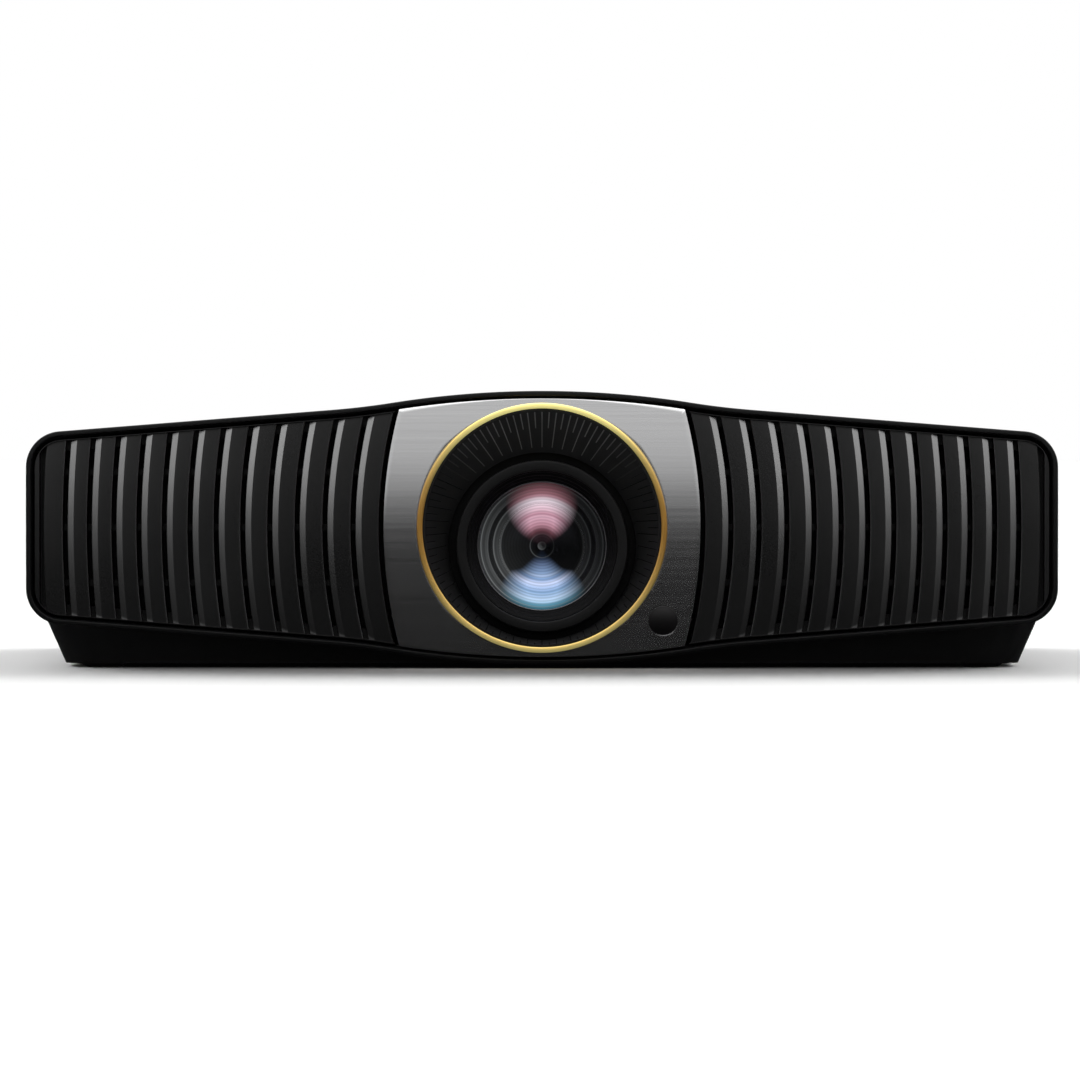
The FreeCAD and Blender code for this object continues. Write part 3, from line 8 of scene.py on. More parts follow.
# %% Load the frame and keep its box
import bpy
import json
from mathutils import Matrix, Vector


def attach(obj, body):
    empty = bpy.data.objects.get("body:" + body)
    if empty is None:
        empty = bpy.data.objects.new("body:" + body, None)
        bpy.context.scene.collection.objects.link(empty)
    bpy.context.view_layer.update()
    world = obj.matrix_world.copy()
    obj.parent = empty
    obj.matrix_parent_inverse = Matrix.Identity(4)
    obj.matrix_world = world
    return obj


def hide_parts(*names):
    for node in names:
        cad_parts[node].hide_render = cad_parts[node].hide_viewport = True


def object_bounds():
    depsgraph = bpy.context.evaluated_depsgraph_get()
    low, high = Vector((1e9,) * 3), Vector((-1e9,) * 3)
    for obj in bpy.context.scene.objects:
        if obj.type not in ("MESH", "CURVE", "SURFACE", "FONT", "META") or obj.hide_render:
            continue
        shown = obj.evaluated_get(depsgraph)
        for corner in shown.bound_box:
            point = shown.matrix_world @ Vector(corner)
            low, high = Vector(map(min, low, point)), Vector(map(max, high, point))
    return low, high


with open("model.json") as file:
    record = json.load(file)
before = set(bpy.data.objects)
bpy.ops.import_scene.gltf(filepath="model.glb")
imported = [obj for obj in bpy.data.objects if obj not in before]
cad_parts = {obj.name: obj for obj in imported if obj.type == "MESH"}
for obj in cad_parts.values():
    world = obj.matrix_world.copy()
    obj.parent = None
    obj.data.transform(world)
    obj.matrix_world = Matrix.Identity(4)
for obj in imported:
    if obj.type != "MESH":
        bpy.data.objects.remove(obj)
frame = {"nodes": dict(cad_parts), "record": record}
cad_box = [list(corner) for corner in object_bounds()]
print("CAD box in metres:", cad_box)

import json
import math

import bmesh
import bpy
import numpy as np
from mathutils import Vector

# %% [markdown]
# ## Sizes
# All shapes are worked out in millimetres, in the CAD frame: X to the right of someone facing the
# lens, Y towards the back, Z up. Overall sizes are read from the frame, so the skins stay on the CAD
# solids. Heights on the face are easiest from its middle, because the face is the same above and below.

# %% Sizes of the face
MM = 0.001
LOW, HIGH = (np.array(corner) / MM for corner in cad_box)
HALF_WIDTH, TOP, FRONT, REAR = HIGH[0], HIGH[2], LOW[1], HIGH[1]
FOOT_GAP = 2.0
MIDDLE = (TOP + FOOT_GAP) / 2
HALF_HEIGHT = (TOP - FOOT_GAP) / 2
FACE = FRONT + 1.5
CASE_FRONT = FACE + 14.0
BOW_RADIUS = 700.0
print("width", 2 * HALF_WIDTH, "height", TOP, "depth", REAR - FRONT)

# %% [markdown]
# ## From a grid of points to a mesh
# Every new piece is one or more grids of points. A grid becomes four-sided faces by joining each point
# to its neighbours. Two matching grids with a wall round their edges make a closed slab. Doubled points
# are merged at the end, and normals are worked out again so that every face looks outwards.


# %% Grids, slabs and meshes
def grid_faces(rows, columns, wrap_rows=False, wrap_columns=False):
    """Faces of a grid: corner (i, j) joins to the next row and the next column."""
    i = np.arange(rows - (not wrap_rows))[:, None]
    j = np.arange(columns - (not wrap_columns))[None]
    down, right = (i + 1) % rows, (j + 1) % columns
    corners = (i * columns + j, i * columns + right, down * columns + right, down * columns + j)
    return np.stack(corners, -1)


def sheet(points, wrap_rows=False, wrap_columns=False):
    """A grid of points as (vertices, faces)."""
    rows, columns = points.shape[:2]
    return points.reshape(-1, 3), grid_faces(rows, columns, wrap_rows, wrap_columns).reshape(-1, 4)


def slab(front, back):
    """Two matching grids, joined by a wall round their edges."""
    rows, columns = front.shape[:2]
    count = rows * columns
    faces = grid_faces(rows, columns).reshape(-1, 4)
    place = np.arange(count).reshape(rows, columns)
    edge = np.concatenate([place[0, :-1], place[:-1, -1], place[-1, :0:-1], place[:0:-1, 0]])
    after = np.roll(edge, -1)
    wall = np.stack([edge, after, after + count, edge + count], -1)
    points = np.concatenate([front.reshape(-1, 3), back.reshape(-1, 3)])
    return points, np.concatenate([faces, faces[:, ::-1] + count, wall])


def tube_with_caps(points):
    """A closed tube: rows run along it, columns go round it, and a flat face closes each end."""
    vertices, faces = sheet(points, wrap_columns=True)
    rows, columns = points.shape[:2]
    first = np.arange(columns)
    return vertices, faces.tolist() + [first[::-1].tolist(), (first + (rows - 1) * columns).tolist()]


def joined(parts):
    """Several (vertices, faces) pairs as one."""
    vertices, faces, start = [], [], 0
    for points, polygons in parts:
        vertices.append(points)
        faces += [[int(corner) + start for corner in polygon] for polygon in polygons]
        start += len(points)
    return np.concatenate(vertices), faces


def added(name, data):
    """A new object in the scene."""
    made = bpy.data.objects.new(name, data)
    bpy.context.collection.objects.link(made)
    return made


def make_piece(name, body, parts, material, stands_for=(), crease=32, mark=None):
    """Makes one object from (vertices, faces) pairs in millimetres, and hangs it on its CAD body."""
    vertices, faces = joined(parts)
    mesh = bpy.data.meshes.new(name)
    mesh.from_pydata((vertices * MM).tolist(), [], faces)
    if mark is not None:
        values = mark.astype(np.float32).ravel()
        mesh.attributes.new("mark", "FLOAT", "POINT").data.foreach_set("value", values)
    shape = bmesh.new()
    shape.from_mesh(mesh)
    bmesh.ops.remove_doubles(shape, verts=shape.verts, dist=2e-6)
    bmesh.ops.dissolve_degenerate(shape, edges=shape.edges, dist=1e-7)
    bmesh.ops.recalc_face_normals(shape, faces=shape.faces)
    shape.to_mesh(mesh)
    shape.free()
    mesh.shade_smooth()
    mesh.set_sharp_from_angle(angle=math.radians(crease))
    mesh.materials.append(material)
    piece = added(name, mesh)
    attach(piece, body)
    if stands_for:
        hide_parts(*stands_for)
    print(f"{name}: {len(mesh.polygons)} faces")
    return piece


def round_profile(corners, radii, steps=5):
    """A closed polyline with rounded corners: each gives way to a curve tangent to both its runs."""
    corners = np.asarray(corners, float)
    radii = np.broadcast_to(radii, len(corners))
    before, after = np.roll(corners, 1, 0) - corners, np.roll(corners, -1, 0) - corners
    reach_before, reach_after = np.linalg.norm(before, axis=1), np.linalg.norm(after, axis=1)
    before, after = before / reach_before[:, None], after / reach_after[:, None]
    half_turn = np.arccos(np.clip((before * after).sum(1), -1, 1)) / 2
    longest = 0.49 * np.minimum(reach_before, reach_after)
    trim = np.minimum(radii / np.tan(np.maximum(half_turn, 0.01)), longest)
    t = np.linspace(0, 1, steps)[None, :, None]
    start = (corners + before * trim[:, None])[:, None]
    end = (corners + after * trim[:, None])[:, None]
    # a quadratic curve with the corner as its handle lies close to the arc
    curve = (1 - t) ** 2 * start + 2 * t * (1 - t) * corners[:, None] + t**2 * end
    return curve.reshape(-1, 2)


def turned(profile, height, count=160, middle_x=0.0):
    """A profile of (radius, y) points turned about the level axis at that height."""
    angle = np.linspace(0, 2 * np.pi, count, endpoint=False)[None]
    radius, y = profile[:, 0, None], profile[:, 1, None] + 0 * angle
    return np.stack([middle_x + radius * np.sin(angle), y, height + radius * np.cos(angle)], -1)


# %% [markdown]
# ## The face outline
# The face is an arch in the middle, then a hollow blend, a straight slope, a round corner and an upright
# side. Moving it inwards by a set amount moves every point along its own normal, so the outline is kept
# as points and normals. Any rim that follows the face is then a small profile carried along it.


# %% Outline points and normals
def arc_points(centre, radius, start, end, count, outward=1):
    """Points of an arc about centre, from one angle off the vertical to another, and their normals."""
    angle = np.linspace(start, end, count)
    normal = np.stack([np.sin(angle), np.cos(angle)], -1)
    return np.asarray(centre) + outward * radius * normal, normal


ARCH_RADIUS, ARCH_HALF, BLEND_RADIUS, CORNER_RADIUS = 480.0, 75.0, 400.0, 18.0
SLOPE = math.radians(4.5)
arch_centre = np.array([0, HALF_HEIGHT - ARCH_RADIUS])
arch_end = math.asin(ARCH_HALF / ARCH_RADIUS)
blend_centre = arch_centre + (ARCH_RADIUS + BLEND_RADIUS) * np.array([math.sin(arch_end), math.cos(arch_end)])
slope_normal = np.array([math.sin(SLOPE), math.cos(SLOPE)])
slope_start = blend_centre - BLEND_RADIUS * slope_normal
corner_x = HALF_WIDTH - CORNER_RADIUS
slope_run = (corner_x + CORNER_RADIUS * math.sin(SLOPE) - slope_start[0]) / math.cos(SLOPE)
slope_end = slope_start + slope_run * np.array([math.cos(SLOPE), -math.sin(SLOPE)])
corner_centre = slope_end - CORNER_RADIUS * slope_normal


def quarter():
    """The upper right quarter from the top of the arch to mid height: points and normals."""
    line = slope_start + (slope_end - slope_start) * np.linspace(0, 1, 24)[:, None]
    upright = np.linspace(corner_centre[1], 0, 10)
    side = np.stack([np.full_like(upright, HALF_WIDTH), upright], -1)
    pieces = [
        arc_points(arch_centre, ARCH_RADIUS, 0, arch_end, 26),
        arc_points(blend_centre, BLEND_RADIUS, arch_end, SLOPE, 10, -1),
        (line, np.tile(slope_normal, (len(line), 1))),
        arc_points(corner_centre, CORNER_RADIUS, SLOPE, math.pi / 2, 18),
        (side, np.tile([1.0, 0.0], (len(side), 1))),
    ]
    points = np.concatenate([p[0] for p in pieces])
    normals = np.concatenate([p[1] for p in pieces])
    step = np.linalg.norm(np.diff(points, axis=0), axis=1)
    keep = np.concatenate([[True], step > 1e-6])
    return points[keep], normals[keep]


def right_half():
    """Outline from the top of the arch round the right side to the lowest point."""
    flip = np.array([1, -1])
    return tuple(np.concatenate([rows, rows[-2::-1] * flip]) for rows in quarter())


def whole_outline():
    """The closed outline, clockwise from the top, without repeating its first point."""
    flip = np.array([-1, 1])
    return tuple(np.concatenate([rows, rows[-2:0:-1] * flip]) for rows in right_half())


def top_height(x, inset):
    """Height of the outline above mid height at x, moved in by inset."""
    points, normals = quarter()
    moved = points - normals * inset
    rising = moved[:, 0] < HALF_WIDTH - inset - 0.001
    return np.interp(np.abs(x), moved[rising, 0], moved[rising, 1])


def bow(z):
    """How far the bowed face falls back at height z from the middle."""
    return BOW_RADIUS - np.sqrt(BOW_RADIUS**2 - np.asarray(z) ** 2)


def carried(profile, outline, bow_back=CASE_FRONT):
    """A profile of (inset, y) carried along an outline. The bow fades out towards bow_back."""
    points, normals = outline
    place = points[None] - normals[None] * profile[:, 0, None, None]
    share = np.clip((bow_back - profile[:, 1]) / (bow_back - FACE), 0, 1)
    y = profile[:, 1, None] + bow(place[..., 1]) * share[:, None]
    return np.stack([place[..., 0], y, MIDDLE + place[..., 1]], -1)


print("slope starts at", slope_start, "and ends at", slope_end)

# %% [markdown]
# ## Writing shader maths as expressions
# A material is a net of nodes. Wrapping a socket in a small class lets plus, times and the rest add the
# Math nodes, so a pattern reads like a formula. Fixed numbers go straight onto the sockets.


# %% The node wrapper
class Wire:
    """One output socket of a material's nodes, which can be used in a formula."""

    def __init__(self, tree, socket):
        self.tree, self.socket = tree, socket

    def maths(self, operation, *others):
        values = {0: self} | dict(enumerate(others, 1))
        return node(self.tree, "ShaderNodeMath", {"operation": operation}, values)

    def __add__(self, other):
        return self.maths("ADD", other)

    def __sub__(self, other):
        return self.maths("SUBTRACT", other)

    def __mul__(self, other):
        return self.maths("MULTIPLY", other)

    def __truediv__(self, other):
        return self.maths("DIVIDE", other)

    def __pow__(self, other):
        return self.maths("POWER", other)

    def __rsub__(self, other):
        return node(self.tree, "ShaderNodeMath", {"operation": "SUBTRACT"}, {0: other, 1: self})

    def __gt__(self, other):
        return self.maths("GREATER_THAN", other)

    def limited(self):
        """Kept between 0 and 1."""
        return self.maths("MAXIMUM", 0.0).maths("MINIMUM", 1.0)


def plug(tree, socket, value):
    """Links a Wire into a socket, or sets a plain value on it."""
    if isinstance(value, Wire):
        tree.links.new(value.socket, socket)
    elif socket.type == "RGBA" and len(value) == 3:
        socket.default_value = (*value, 1.0)
    else:
        socket.default_value = value


def node(tree, kind, settings=None, inputs=None, output=0):
    """Adds a node: its settings first, then its inputs by name or number. Returns one output as a Wire."""
    made = tree.nodes.new(kind)
    for key, value in (settings or {}).items():
        if key == "stops":
            ramp = made.color_ramp
            while len(ramp.elements) < len(value):
                ramp.elements.new(0.5)
            for element, (position, colour) in zip(ramp.elements, value):
                element.position, element.color = position, (*colour, 1.0)
        else:
            setattr(made, key, value)
    for key, value in (inputs or {}).items():
        plug(tree, made.inputs[key], value)
    return Wire(tree, made.outputs[output])


class Finish:
    """A material being made: its node tree, its Principled shader and the place on the object."""

    def __init__(self, name, **fixed):
        self.material = bpy.data.materials.new(name)
        self.material.use_nodes = True
        self.tree = self.material.node_tree
        self.shader = next(n for n in self.tree.nodes if n.type == "BSDF_PRINCIPLED")
        self.place = self.add("ShaderNodeTexCoord", output="Object")
        self.set(**fixed)

    def add(self, kind, settings=None, inputs=None, output=0):
        return node(self.tree, kind, settings, inputs, output)

    def set(self, **values):
        """Sets sockets of the shader. base_color stands for Base Color, and so on."""
        for key, value in values.items():
            name = key.replace("_", " ").title().replace("Ior", "IOR")
            plug(self.tree, self.shader.inputs[name], value)
        return self

    def stretched(self, scale):
        """The place on the object, scaled for a pattern."""
        return self.add("ShaderNodeMapping", None, {"Vector": self.place, "Scale": scale})

    def noise(self, vector, scale=1.0, detail=2.0, roughness=0.5):
        values = {"Vector": vector, "Scale": scale, "Detail": detail, "Roughness": roughness}
        return self.add("ShaderNodeTexNoise", None, values)

    def axes(self):
        """The three coordinates of the place on the object, in metres."""
        return [self.add("ShaderNodeSeparateXYZ", None, {"Vector": self.place}, output=k) for k in range(3)]

    def blend(self, amount, first, second):
        """A colour between two colours."""
        return self.add(
            "ShaderNodeMix", {"data_type": "RGBA"}, {"Factor": amount, 6: first, 7: second}, output=2
        )

    def bumped(self, height, strength=0.3, distance=0.0002):
        """Adds a bump from a height between 0 and 1."""
        values = {"Strength": strength, "Distance": distance, "Height": height}
        return self.set(normal=self.add("ShaderNodeBump", None, values))


# %% [markdown]
# ## Finishes
# Almost everything is dark, so the finishes differ in their sheen: a fine-grained moulding scatters
# light, satin paint keeps a soft highlight, and brushed metal draws it out along the grain. Each has a
# slow change of colour and roughness over the part and a fine grain in its bump.


# %% Moulded plastic and satin paint
def moulded(name, colour, roughness, grain=900.0, depth=0.25, patch=0.12, **fixed):
    """Black plastic with a fine grain: noise in the bump, and slow patches in colour and roughness."""
    finish = Finish(name, **fixed)
    fine = finish.noise(finish.place, grain, 3.0, 0.6)
    slow = finish.noise(finish.place, 14.0, 2.0)
    dark, light = (tuple(c * (1 + side * patch) for c in colour) for side in (-1, 1))
    uneven = (slow - 0.5) * 0.12 + (fine - 0.5) * 0.1 + roughness
    finish.set(base_color=finish.blend(slow, dark, light), roughness=uneven)
    return finish.bumped(fine, depth).material


case_black = moulded("case_black", (0.006, 0.006, 0.0064), 0.42, 1400, 0.3)
bezel_paint = moulded("bezel_satin", (0.0065, 0.0065, 0.0068), 0.4, 1800, 0.1, specular_ior_level=0.14)
fin_black = moulded("fin_satin", (0.0035, 0.0035, 0.0037), 0.3, 1600, 0.1, specular_ior_level=0.28)
deep_black = moulded("deep_black", (0.0025, 0.0025, 0.0027), 0.6, 1200, 0.3, specular_ior_level=0.12)
cell_paint = moulded("lens_cell_paint", (0.005, 0.005, 0.0053), 0.42, 1500, 0.12, specular_ior_level=0.22)
key_black = moulded("key_satin", (0.014, 0.014, 0.015), 0.32, 1500, 0.15)
rubber = moulded("foot_rubber", (0.006, 0.006, 0.006), 0.7, 700, 0.5)
print("plastics and paints made")


# %% [markdown]
# Brushed metal is noise squeezed into long level lines: fine across the grain and slow along it. The
# same lines drive colour and roughness, and the broader ones a little bump, so the light breaks along them.


# %% Brushed panel and polished ring
def brushed_metal():
    """Level brushing: noise stretched along X at two scales."""
    finish = Finish("brushed_gunmetal", metallic=1.0)
    lines = finish.noise(finish.stretched((11, 11, 2600)), 1.0, 5.0, 0.7)
    broad = finish.noise(finish.stretched((4, 4, 480)), 1.0, 3.0, 0.6)
    mixed = ((lines * 0.6 + broad * 0.4 - 0.5) * 1.4 + 0.5).limited()
    finish.set(
        base_color=finish.blend(mixed, (0.58, 0.58, 0.585), (0.8, 0.8, 0.805)),
        roughness=mixed * 0.1 + 0.11,
    )
    return finish.bumped(broad, 0.04, 0.00002).material


def polished_gold():
    """Satin gold with fine grain and uneven polish. Its gleam is painted: the upright share of the way from
    the ring's centre, more above than below, drives both the colour and a low emission."""
    finish = Finish("satin_gold", metallic=0.95, emission_strength=0.55)
    x, _, z = finish.axes()
    rise = z - MIDDLE * MM
    upright = (rise * rise) / (x * x + rise * rise)
    gleam = (upright * (rise * 5.2 + 0.7)).limited()
    finish.set(emission_color=finish.blend(gleam, (0.06, 0.028, 0.004), (1.0, 0.93, 0.36)))
    fine = finish.noise(finish.place, 2600, 2.0)
    slow = finish.noise(finish.place, 40, 2.0)
    metal = finish.blend(slow, (0.5, 0.26, 0.06), (0.6, 0.33, 0.085))
    finish.set(
        base_color=finish.blend(gleam, metal, (1.0, 0.8, 0.28)),
        roughness=fine * 0.08 + slow * 0.08 + 0.26,
    )
    finish.material.cycles.emission_sampling = "NONE"
    return finish.bumped(fine, 0.02, 0.00002).material


gunmetal, gold = brushed_metal(), polished_gold()
print("metals made")


# %% [markdown]
# Pieces that stay as CAD solids are mostly inside. They still get a finish of their own, so that what
# shows through the vents and sockets looks right.


# %% Plain metals, boards and small parts
def plain_metal(name, colour, roughness, grain=300.0):
    """Bare metal: small changes of tone and roughness from two scales of noise."""
    finish = Finish(name, metallic=1.0)
    fine = finish.noise(finish.place, grain, 3.0)
    slow = finish.noise(finish.place, 25, 2.0)
    dark = tuple(c * 0.8 for c in colour)
    finish.set(base_color=finish.blend(slow, dark, colour), roughness=fine * 0.2 + roughness)
    return finish.bumped(fine, 0.1, 0.0001).material


def circuit_board():
    """Green lacquer with a faint net of tracks."""
    finish = Finish("circuit_board", coat_roughness=0.2)
    shape = {"distance": "MANHATTAN", "feature": "F1"}
    cells = finish.add("ShaderNodeTexVoronoi", shape, {"Vector": finish.place, "Scale": 320.0})
    track = cells > 0.4
    finish.set(base_color=finish.blend(track, (0.012, 0.09, 0.035), (0.02, 0.14, 0.06)))
    finish.set(roughness=cells * 0.2 + 0.3)
    return finish.bumped(track, 0.2, 0.00005).material


cast_metal = plain_metal("cast_aluminium", (0.5, 0.5, 0.51), 0.45, 500)
bright_fins = plain_metal("fin_aluminium", (0.75, 0.75, 0.77), 0.3)
copper = plain_metal("copper", (0.75, 0.4, 0.26), 0.25)
plated = plain_metal("plated_steel", (0.62, 0.62, 0.63), 0.25, 900)
dark_screws = plain_metal("black_screws", (0.05, 0.05, 0.052), 0.35, 900)
brass = plain_metal("brass", (0.78, 0.6, 0.3), 0.28, 700)
wheel_metal = plain_metal("coated_wheel", (0.7, 0.62, 0.12), 0.4)
board_green = circuit_board()
pale_plastic = moulded("pale_plastic", (0.62, 0.6, 0.55), 0.45)

finish_slots = {
    deep_black: "filter_foam fan_black barrel_black surround_black",
    case_black: "case_black rear_black keypad_black socket_black foot_disc window_black lens_glass",
    board_green: "board supply",
    plated: "motor_steel socket_steel",
    pale_plastic: "pinion_white light_pipe",
    cast_metal: "cast_aluminium",
    bright_fins: "fin_aluminium",
    copper: "copper",
    wheel_metal: "wheel_aluminium",
    dark_screws: "screw_steel",
    brass: "insert_brass",
    key_black: "key_black",
    rubber: "foot_rubber",
    bezel_paint: "bezel_finish",
    fin_black: "grille_finish",
    gunmetal: "brushed_panel",
    gold: "gold_ring",
    cell_paint: "cell_charcoal",
}
cad_finishes = {slot: finish for finish, slots in finish_slots.items() for slot in slots.split()}
for row in frame["record"]["subparts"]:
    piece = frame["nodes"][row["node"]]
    piece.data.materials.clear()
    piece.data.materials.append(cad_finishes[row["material_slot"]])
print("finishes given to", len(frame["nodes"]), "CAD nodes")

# %% [markdown]
# ## The bezel
# The bezel is one moulded frame. Its section is a flat lip with a rounded outer edge and a long chamfer
# that runs inwards to the grilles. Carrying that section round the outline gives the whole frame.

# %% Bezel
BEZEL_WIDTH, BEZEL_LIP, CHAMFER_DEPTH = 4.0, 2.2, 8.0
bezel_corners = [
    (0, FACE), (BEZEL_LIP, FACE), (BEZEL_WIDTH, FACE + CHAMFER_DEPTH), (BEZEL_WIDTH, CASE_FRONT), (0, CASE_FRONT),
]
bezel_section = round_profile(bezel_corners, [0.9, 0.45, 0.6, 0.2, 0.2], 6)
bezel_points = carried(bezel_section, whole_outline())
make_piece(
    "bezel_frame", "chassis", [sheet(bezel_points, True, True)], bezel_paint, ["front_bezel"]
)

# %% [markdown]
# ## The grilles
# Each fin is a bar whose outer and inner edges are shallow arcs, more curved towards the lens. Its
# section has a broad bevel on the outer edge. Where a fin ends depends on the outline's height, which
# depends on how far the arc has moved it sideways, so the end height is found by repeating that step.

# %% Fin edges and curves
FIN_COUNT, FIN_GAP, FIN_RECESS, FIN_DEPTH = 13, 2.3, 3.0, 18.0
PANEL_HALF, PANEL_INSET, FIN_INSET = 79.8, 3.85, 4.55
OUTER_CURVE, INNER_CURVE = 1 / 600, 1 / 228
CLEARANCE, SIDE_LIP, SIDE_GAP = 0.3, 2.4, 2.0
RAIL_HEIGHTS, RAIL_HALF, RAIL_DEPTH, CARRIER_INSET = (-28, 0, 28), 1.5, 4.0, 10.0
grille_inset = BEZEL_WIDTH + CLEARANCE
outermost = HALF_WIDTH - grille_inset - SIDE_LIP - SIDE_GAP
shares = 1 + 0.0168 * np.arange(FIN_COUNT)
fin_places = outermost - np.concatenate([[0], np.cumsum(shares)]) * (outermost - PANEL_HALF) / shares.sum()


def edge_curve(x):
    """Curvature of the upright edge that crosses mid height at x, rising evenly towards the panel."""
    share = (outermost - x) / (outermost - PANEL_HALF)
    return OUTER_CURVE + (INNER_CURVE - OUTER_CURVE) * share


def edge_x(x, z):
    """Where that edge is at height z from the middle: a parabola close to its arc."""
    return x - edge_curve(x) * z**2 / 2


def fin(outer, inner, bevel=3.2, bevel_depth=1.6, rows=44):
    """One fin: a section of (edge, distance, y) swept up its own arcs between the outline's edges."""
    section = [
        (0, 0.0, FIN_DEPTH), (0, 0.0, bevel_depth + 0.45), (0, 0.07, bevel_depth + 0.12),
        (0, 0.1 * bevel, bevel_depth * 0.9), (0, bevel * 0.89, bevel_depth * 0.11), (0, bevel, 0.04),
        (0, bevel + 0.35, 0.0), (1, 0.9, 0.0), (1, 0.35, 0.1), (1, 0.08, 0.35), (1, 0.0, 0.8),
        (1, 0.0, FIN_DEPTH),
    ]
    edge, distance, y = np.array(section).T
    end = np.full_like(distance, HALF_HEIGHT - 8)
    for _ in range(8):
        x = np.where(edge == 0, edge_x(outer, end) - distance, edge_x(inner, end) + distance)
        end = top_height(x, FIN_INSET)
    z = np.linspace(-1, 1, rows)[:, None] * end[None]
    x = np.where(edge == 0, edge_x(outer, z) - distance, edge_x(inner, z) + distance)
    back = y >= FIN_DEPTH - 0.01
    depth = FACE + FIN_RECESS + y + np.where(back, 0, bow(z))
    return np.stack([x, depth, MIDDLE + z], -1)


def grille_lip():
    """The thin lip along the bezel, wider at the side, from the panel's top corner round to its lower one."""
    points, normals = right_half()
    keep = points[:, 0] > edge_x(PANEL_HALF, 62.0) + 3
    line = (points[keep], normals[keep])
    back = CASE_FRONT + RAIL_DEPTH
    outer = carried(np.array([[grille_inset, back], [grille_inset, FACE + 2.0], [4.5, FACE + 1.7]]), line)
    inner = carried(np.array([[4.8, FACE + 1.7], [4.95, FACE + 2.0], [4.8, back]]), line)
    inner[..., 0] = np.minimum(inner[..., 0], HALF_WIDTH - grille_inset - SIDE_LIP)
    loop = np.concatenate([outer, inner]).transpose(1, 0, 2)
    return tube_with_caps(loop)


def carrier():
    """The frame and the three level rails that hold the fins from behind."""
    points, normals = right_half()
    keep = points[:, 0] > PANEL_HALF + 3
    line = (points[keep], normals[keep])
    back = CASE_FRONT + RAIL_DEPTH
    section = np.array(
        [[grille_inset, CASE_FRONT], [CARRIER_INSET, CASE_FRONT], [CARRIER_INSET, back], [grille_inset, back]]
    )
    # it lies behind where the bow fades out, so it is flat
    parts = [tube_with_caps(carried(section, line, FACE + 0.01).transpose(1, 0, 2))]
    x = np.linspace(PANEL_HALF + 2.3, HALF_WIDTH - 9, 30)[:, None]
    for z in RAIL_HEIGHTS:
        corner_y = CASE_FRONT + RAIL_DEPTH * np.array([0, 1, 1, 0])[None] + 0 * x
        corner_z = MIDDLE + z + RAIL_HALF * np.array([-1, -1, 1, 1])[None] + 0 * x
        parts.append(tube_with_caps(np.stack([x + 0 * corner_y, corner_y, corner_z], -1)))
    return parts


def mirrored(parts):
    """The same parts on the other side of the projector."""
    return [(points * np.array([-1, 1, 1]), faces) for points, faces in parts]


# %% Both grilles
grille_parts = [tube_with_caps(fin(a, b + FIN_GAP)) for a, b in zip(fin_places[1:], fin_places[2:])]
grille_parts.append(tube_with_caps(fin(fin_places[0], fin_places[1] + FIN_GAP, 0.5, 0.4)))
grille_parts += [grille_lip()] + carrier()
for side, parts in (("right", grille_parts), ("left", mirrored(grille_parts))):
    make_piece(side + "_fins", "chassis", parts, fin_black, [side + "_grille"], crease=9)

# %% [markdown]
# ## The centre panel
# The plate has a round hole for the gold ring and a small one for the window. Rays from the ring's centre
# to the plate's edge make a fan of rows round the big hole. The wedge that holds the window is left out
# of the fan and filled with rows that shrink from the wedge's own edge to the small circle.

# %% Centre panel
WINDOW_X, WINDOW_Z, WINDOW_RADIUS = 61.0, 24.2 - MIDDLE, 6.8
RING_RADIUS, PLATE = 62.9, FACE + 0.8


def panel_reach(angle):
    """Distance from the ring's centre to the panel's edge along each angle, by halving an interval."""
    low, high = np.full_like(angle, RING_RADIUS), np.full_like(angle, 120.0)
    for _ in range(40):
        reach = (low + high) / 2
        x, z = reach * np.cos(angle), reach * np.sin(angle)
        side = PANEL_HALF - z**2 * INNER_CURVE / 2
        inside = (np.abs(x) < side) & (np.abs(z) < top_height(x, PANEL_INSET))
        low, high = np.where(inside, reach, low), np.where(inside, high, reach)
    return low


def panel_sheet():
    """The plate's front as (vertices, faces): the fan, then the wedge round the window."""
    corner_z = HALF_HEIGHT
    for _ in range(20):
        corner_x = PANEL_HALF - corner_z**2 * INNER_CURVE / 2
        corner_z = top_height(corner_x, PANEL_INSET)
    corner = math.atan2(corner_z, corner_x)
    aim = math.atan2(WINDOW_Z, WINDOW_X)
    wedge = math.radians(8.5)
    exact = [corner, math.pi - corner, -corner, corner - math.pi, aim - wedge, aim + wedge]
    angle = np.unique(np.round(np.concatenate([np.linspace(-np.pi, np.pi, 361)[:-1], exact]), 9))
    share = np.linspace(0, 1, 12)[:, None]
    radius = RING_RADIUS - 0.6 + (panel_reach(angle) - RING_RADIUS + 0.6) * share
    x, z = radius * np.cos(angle), radius * np.sin(angle)
    fan = np.stack([x, 0 * x, z], -1)
    faces = grid_faces(*fan.shape[:2], wrap_columns=True)
    inside = np.nonzero((angle > aim - wedge - 1e-6) & (angle < aim + wedge + 1e-6))[0]
    gone = np.isin(np.arange(faces.shape[1]), inside[:-1])
    loop = np.concatenate(
        [fan[0, inside], fan[1:, inside[-1]], fan[-1, inside[-2::-1]], fan[-2:0:-1, inside[0]]]
    )
    centre = np.array([WINDOW_X, 0, WINDOW_Z])
    outwards = (loop - centre) / np.linalg.norm(loop - centre, axis=1, keepdims=True)
    steps = np.linspace(0, 1, 7)[:, None, None]
    patch = loop + (centre + outwards * (WINDOW_RADIUS + 0.2) - loop) * steps
    parts = [(fan.reshape(-1, 3), faces[:, ~gone].reshape(-1, 4)), sheet(patch, wrap_columns=True)]
    for points, _ in parts:
        points += np.stack([0 * points[:, 0], PLATE + bow(points[:, 2]), 0 * points[:, 0] + MIDDLE], -1)
    return parts


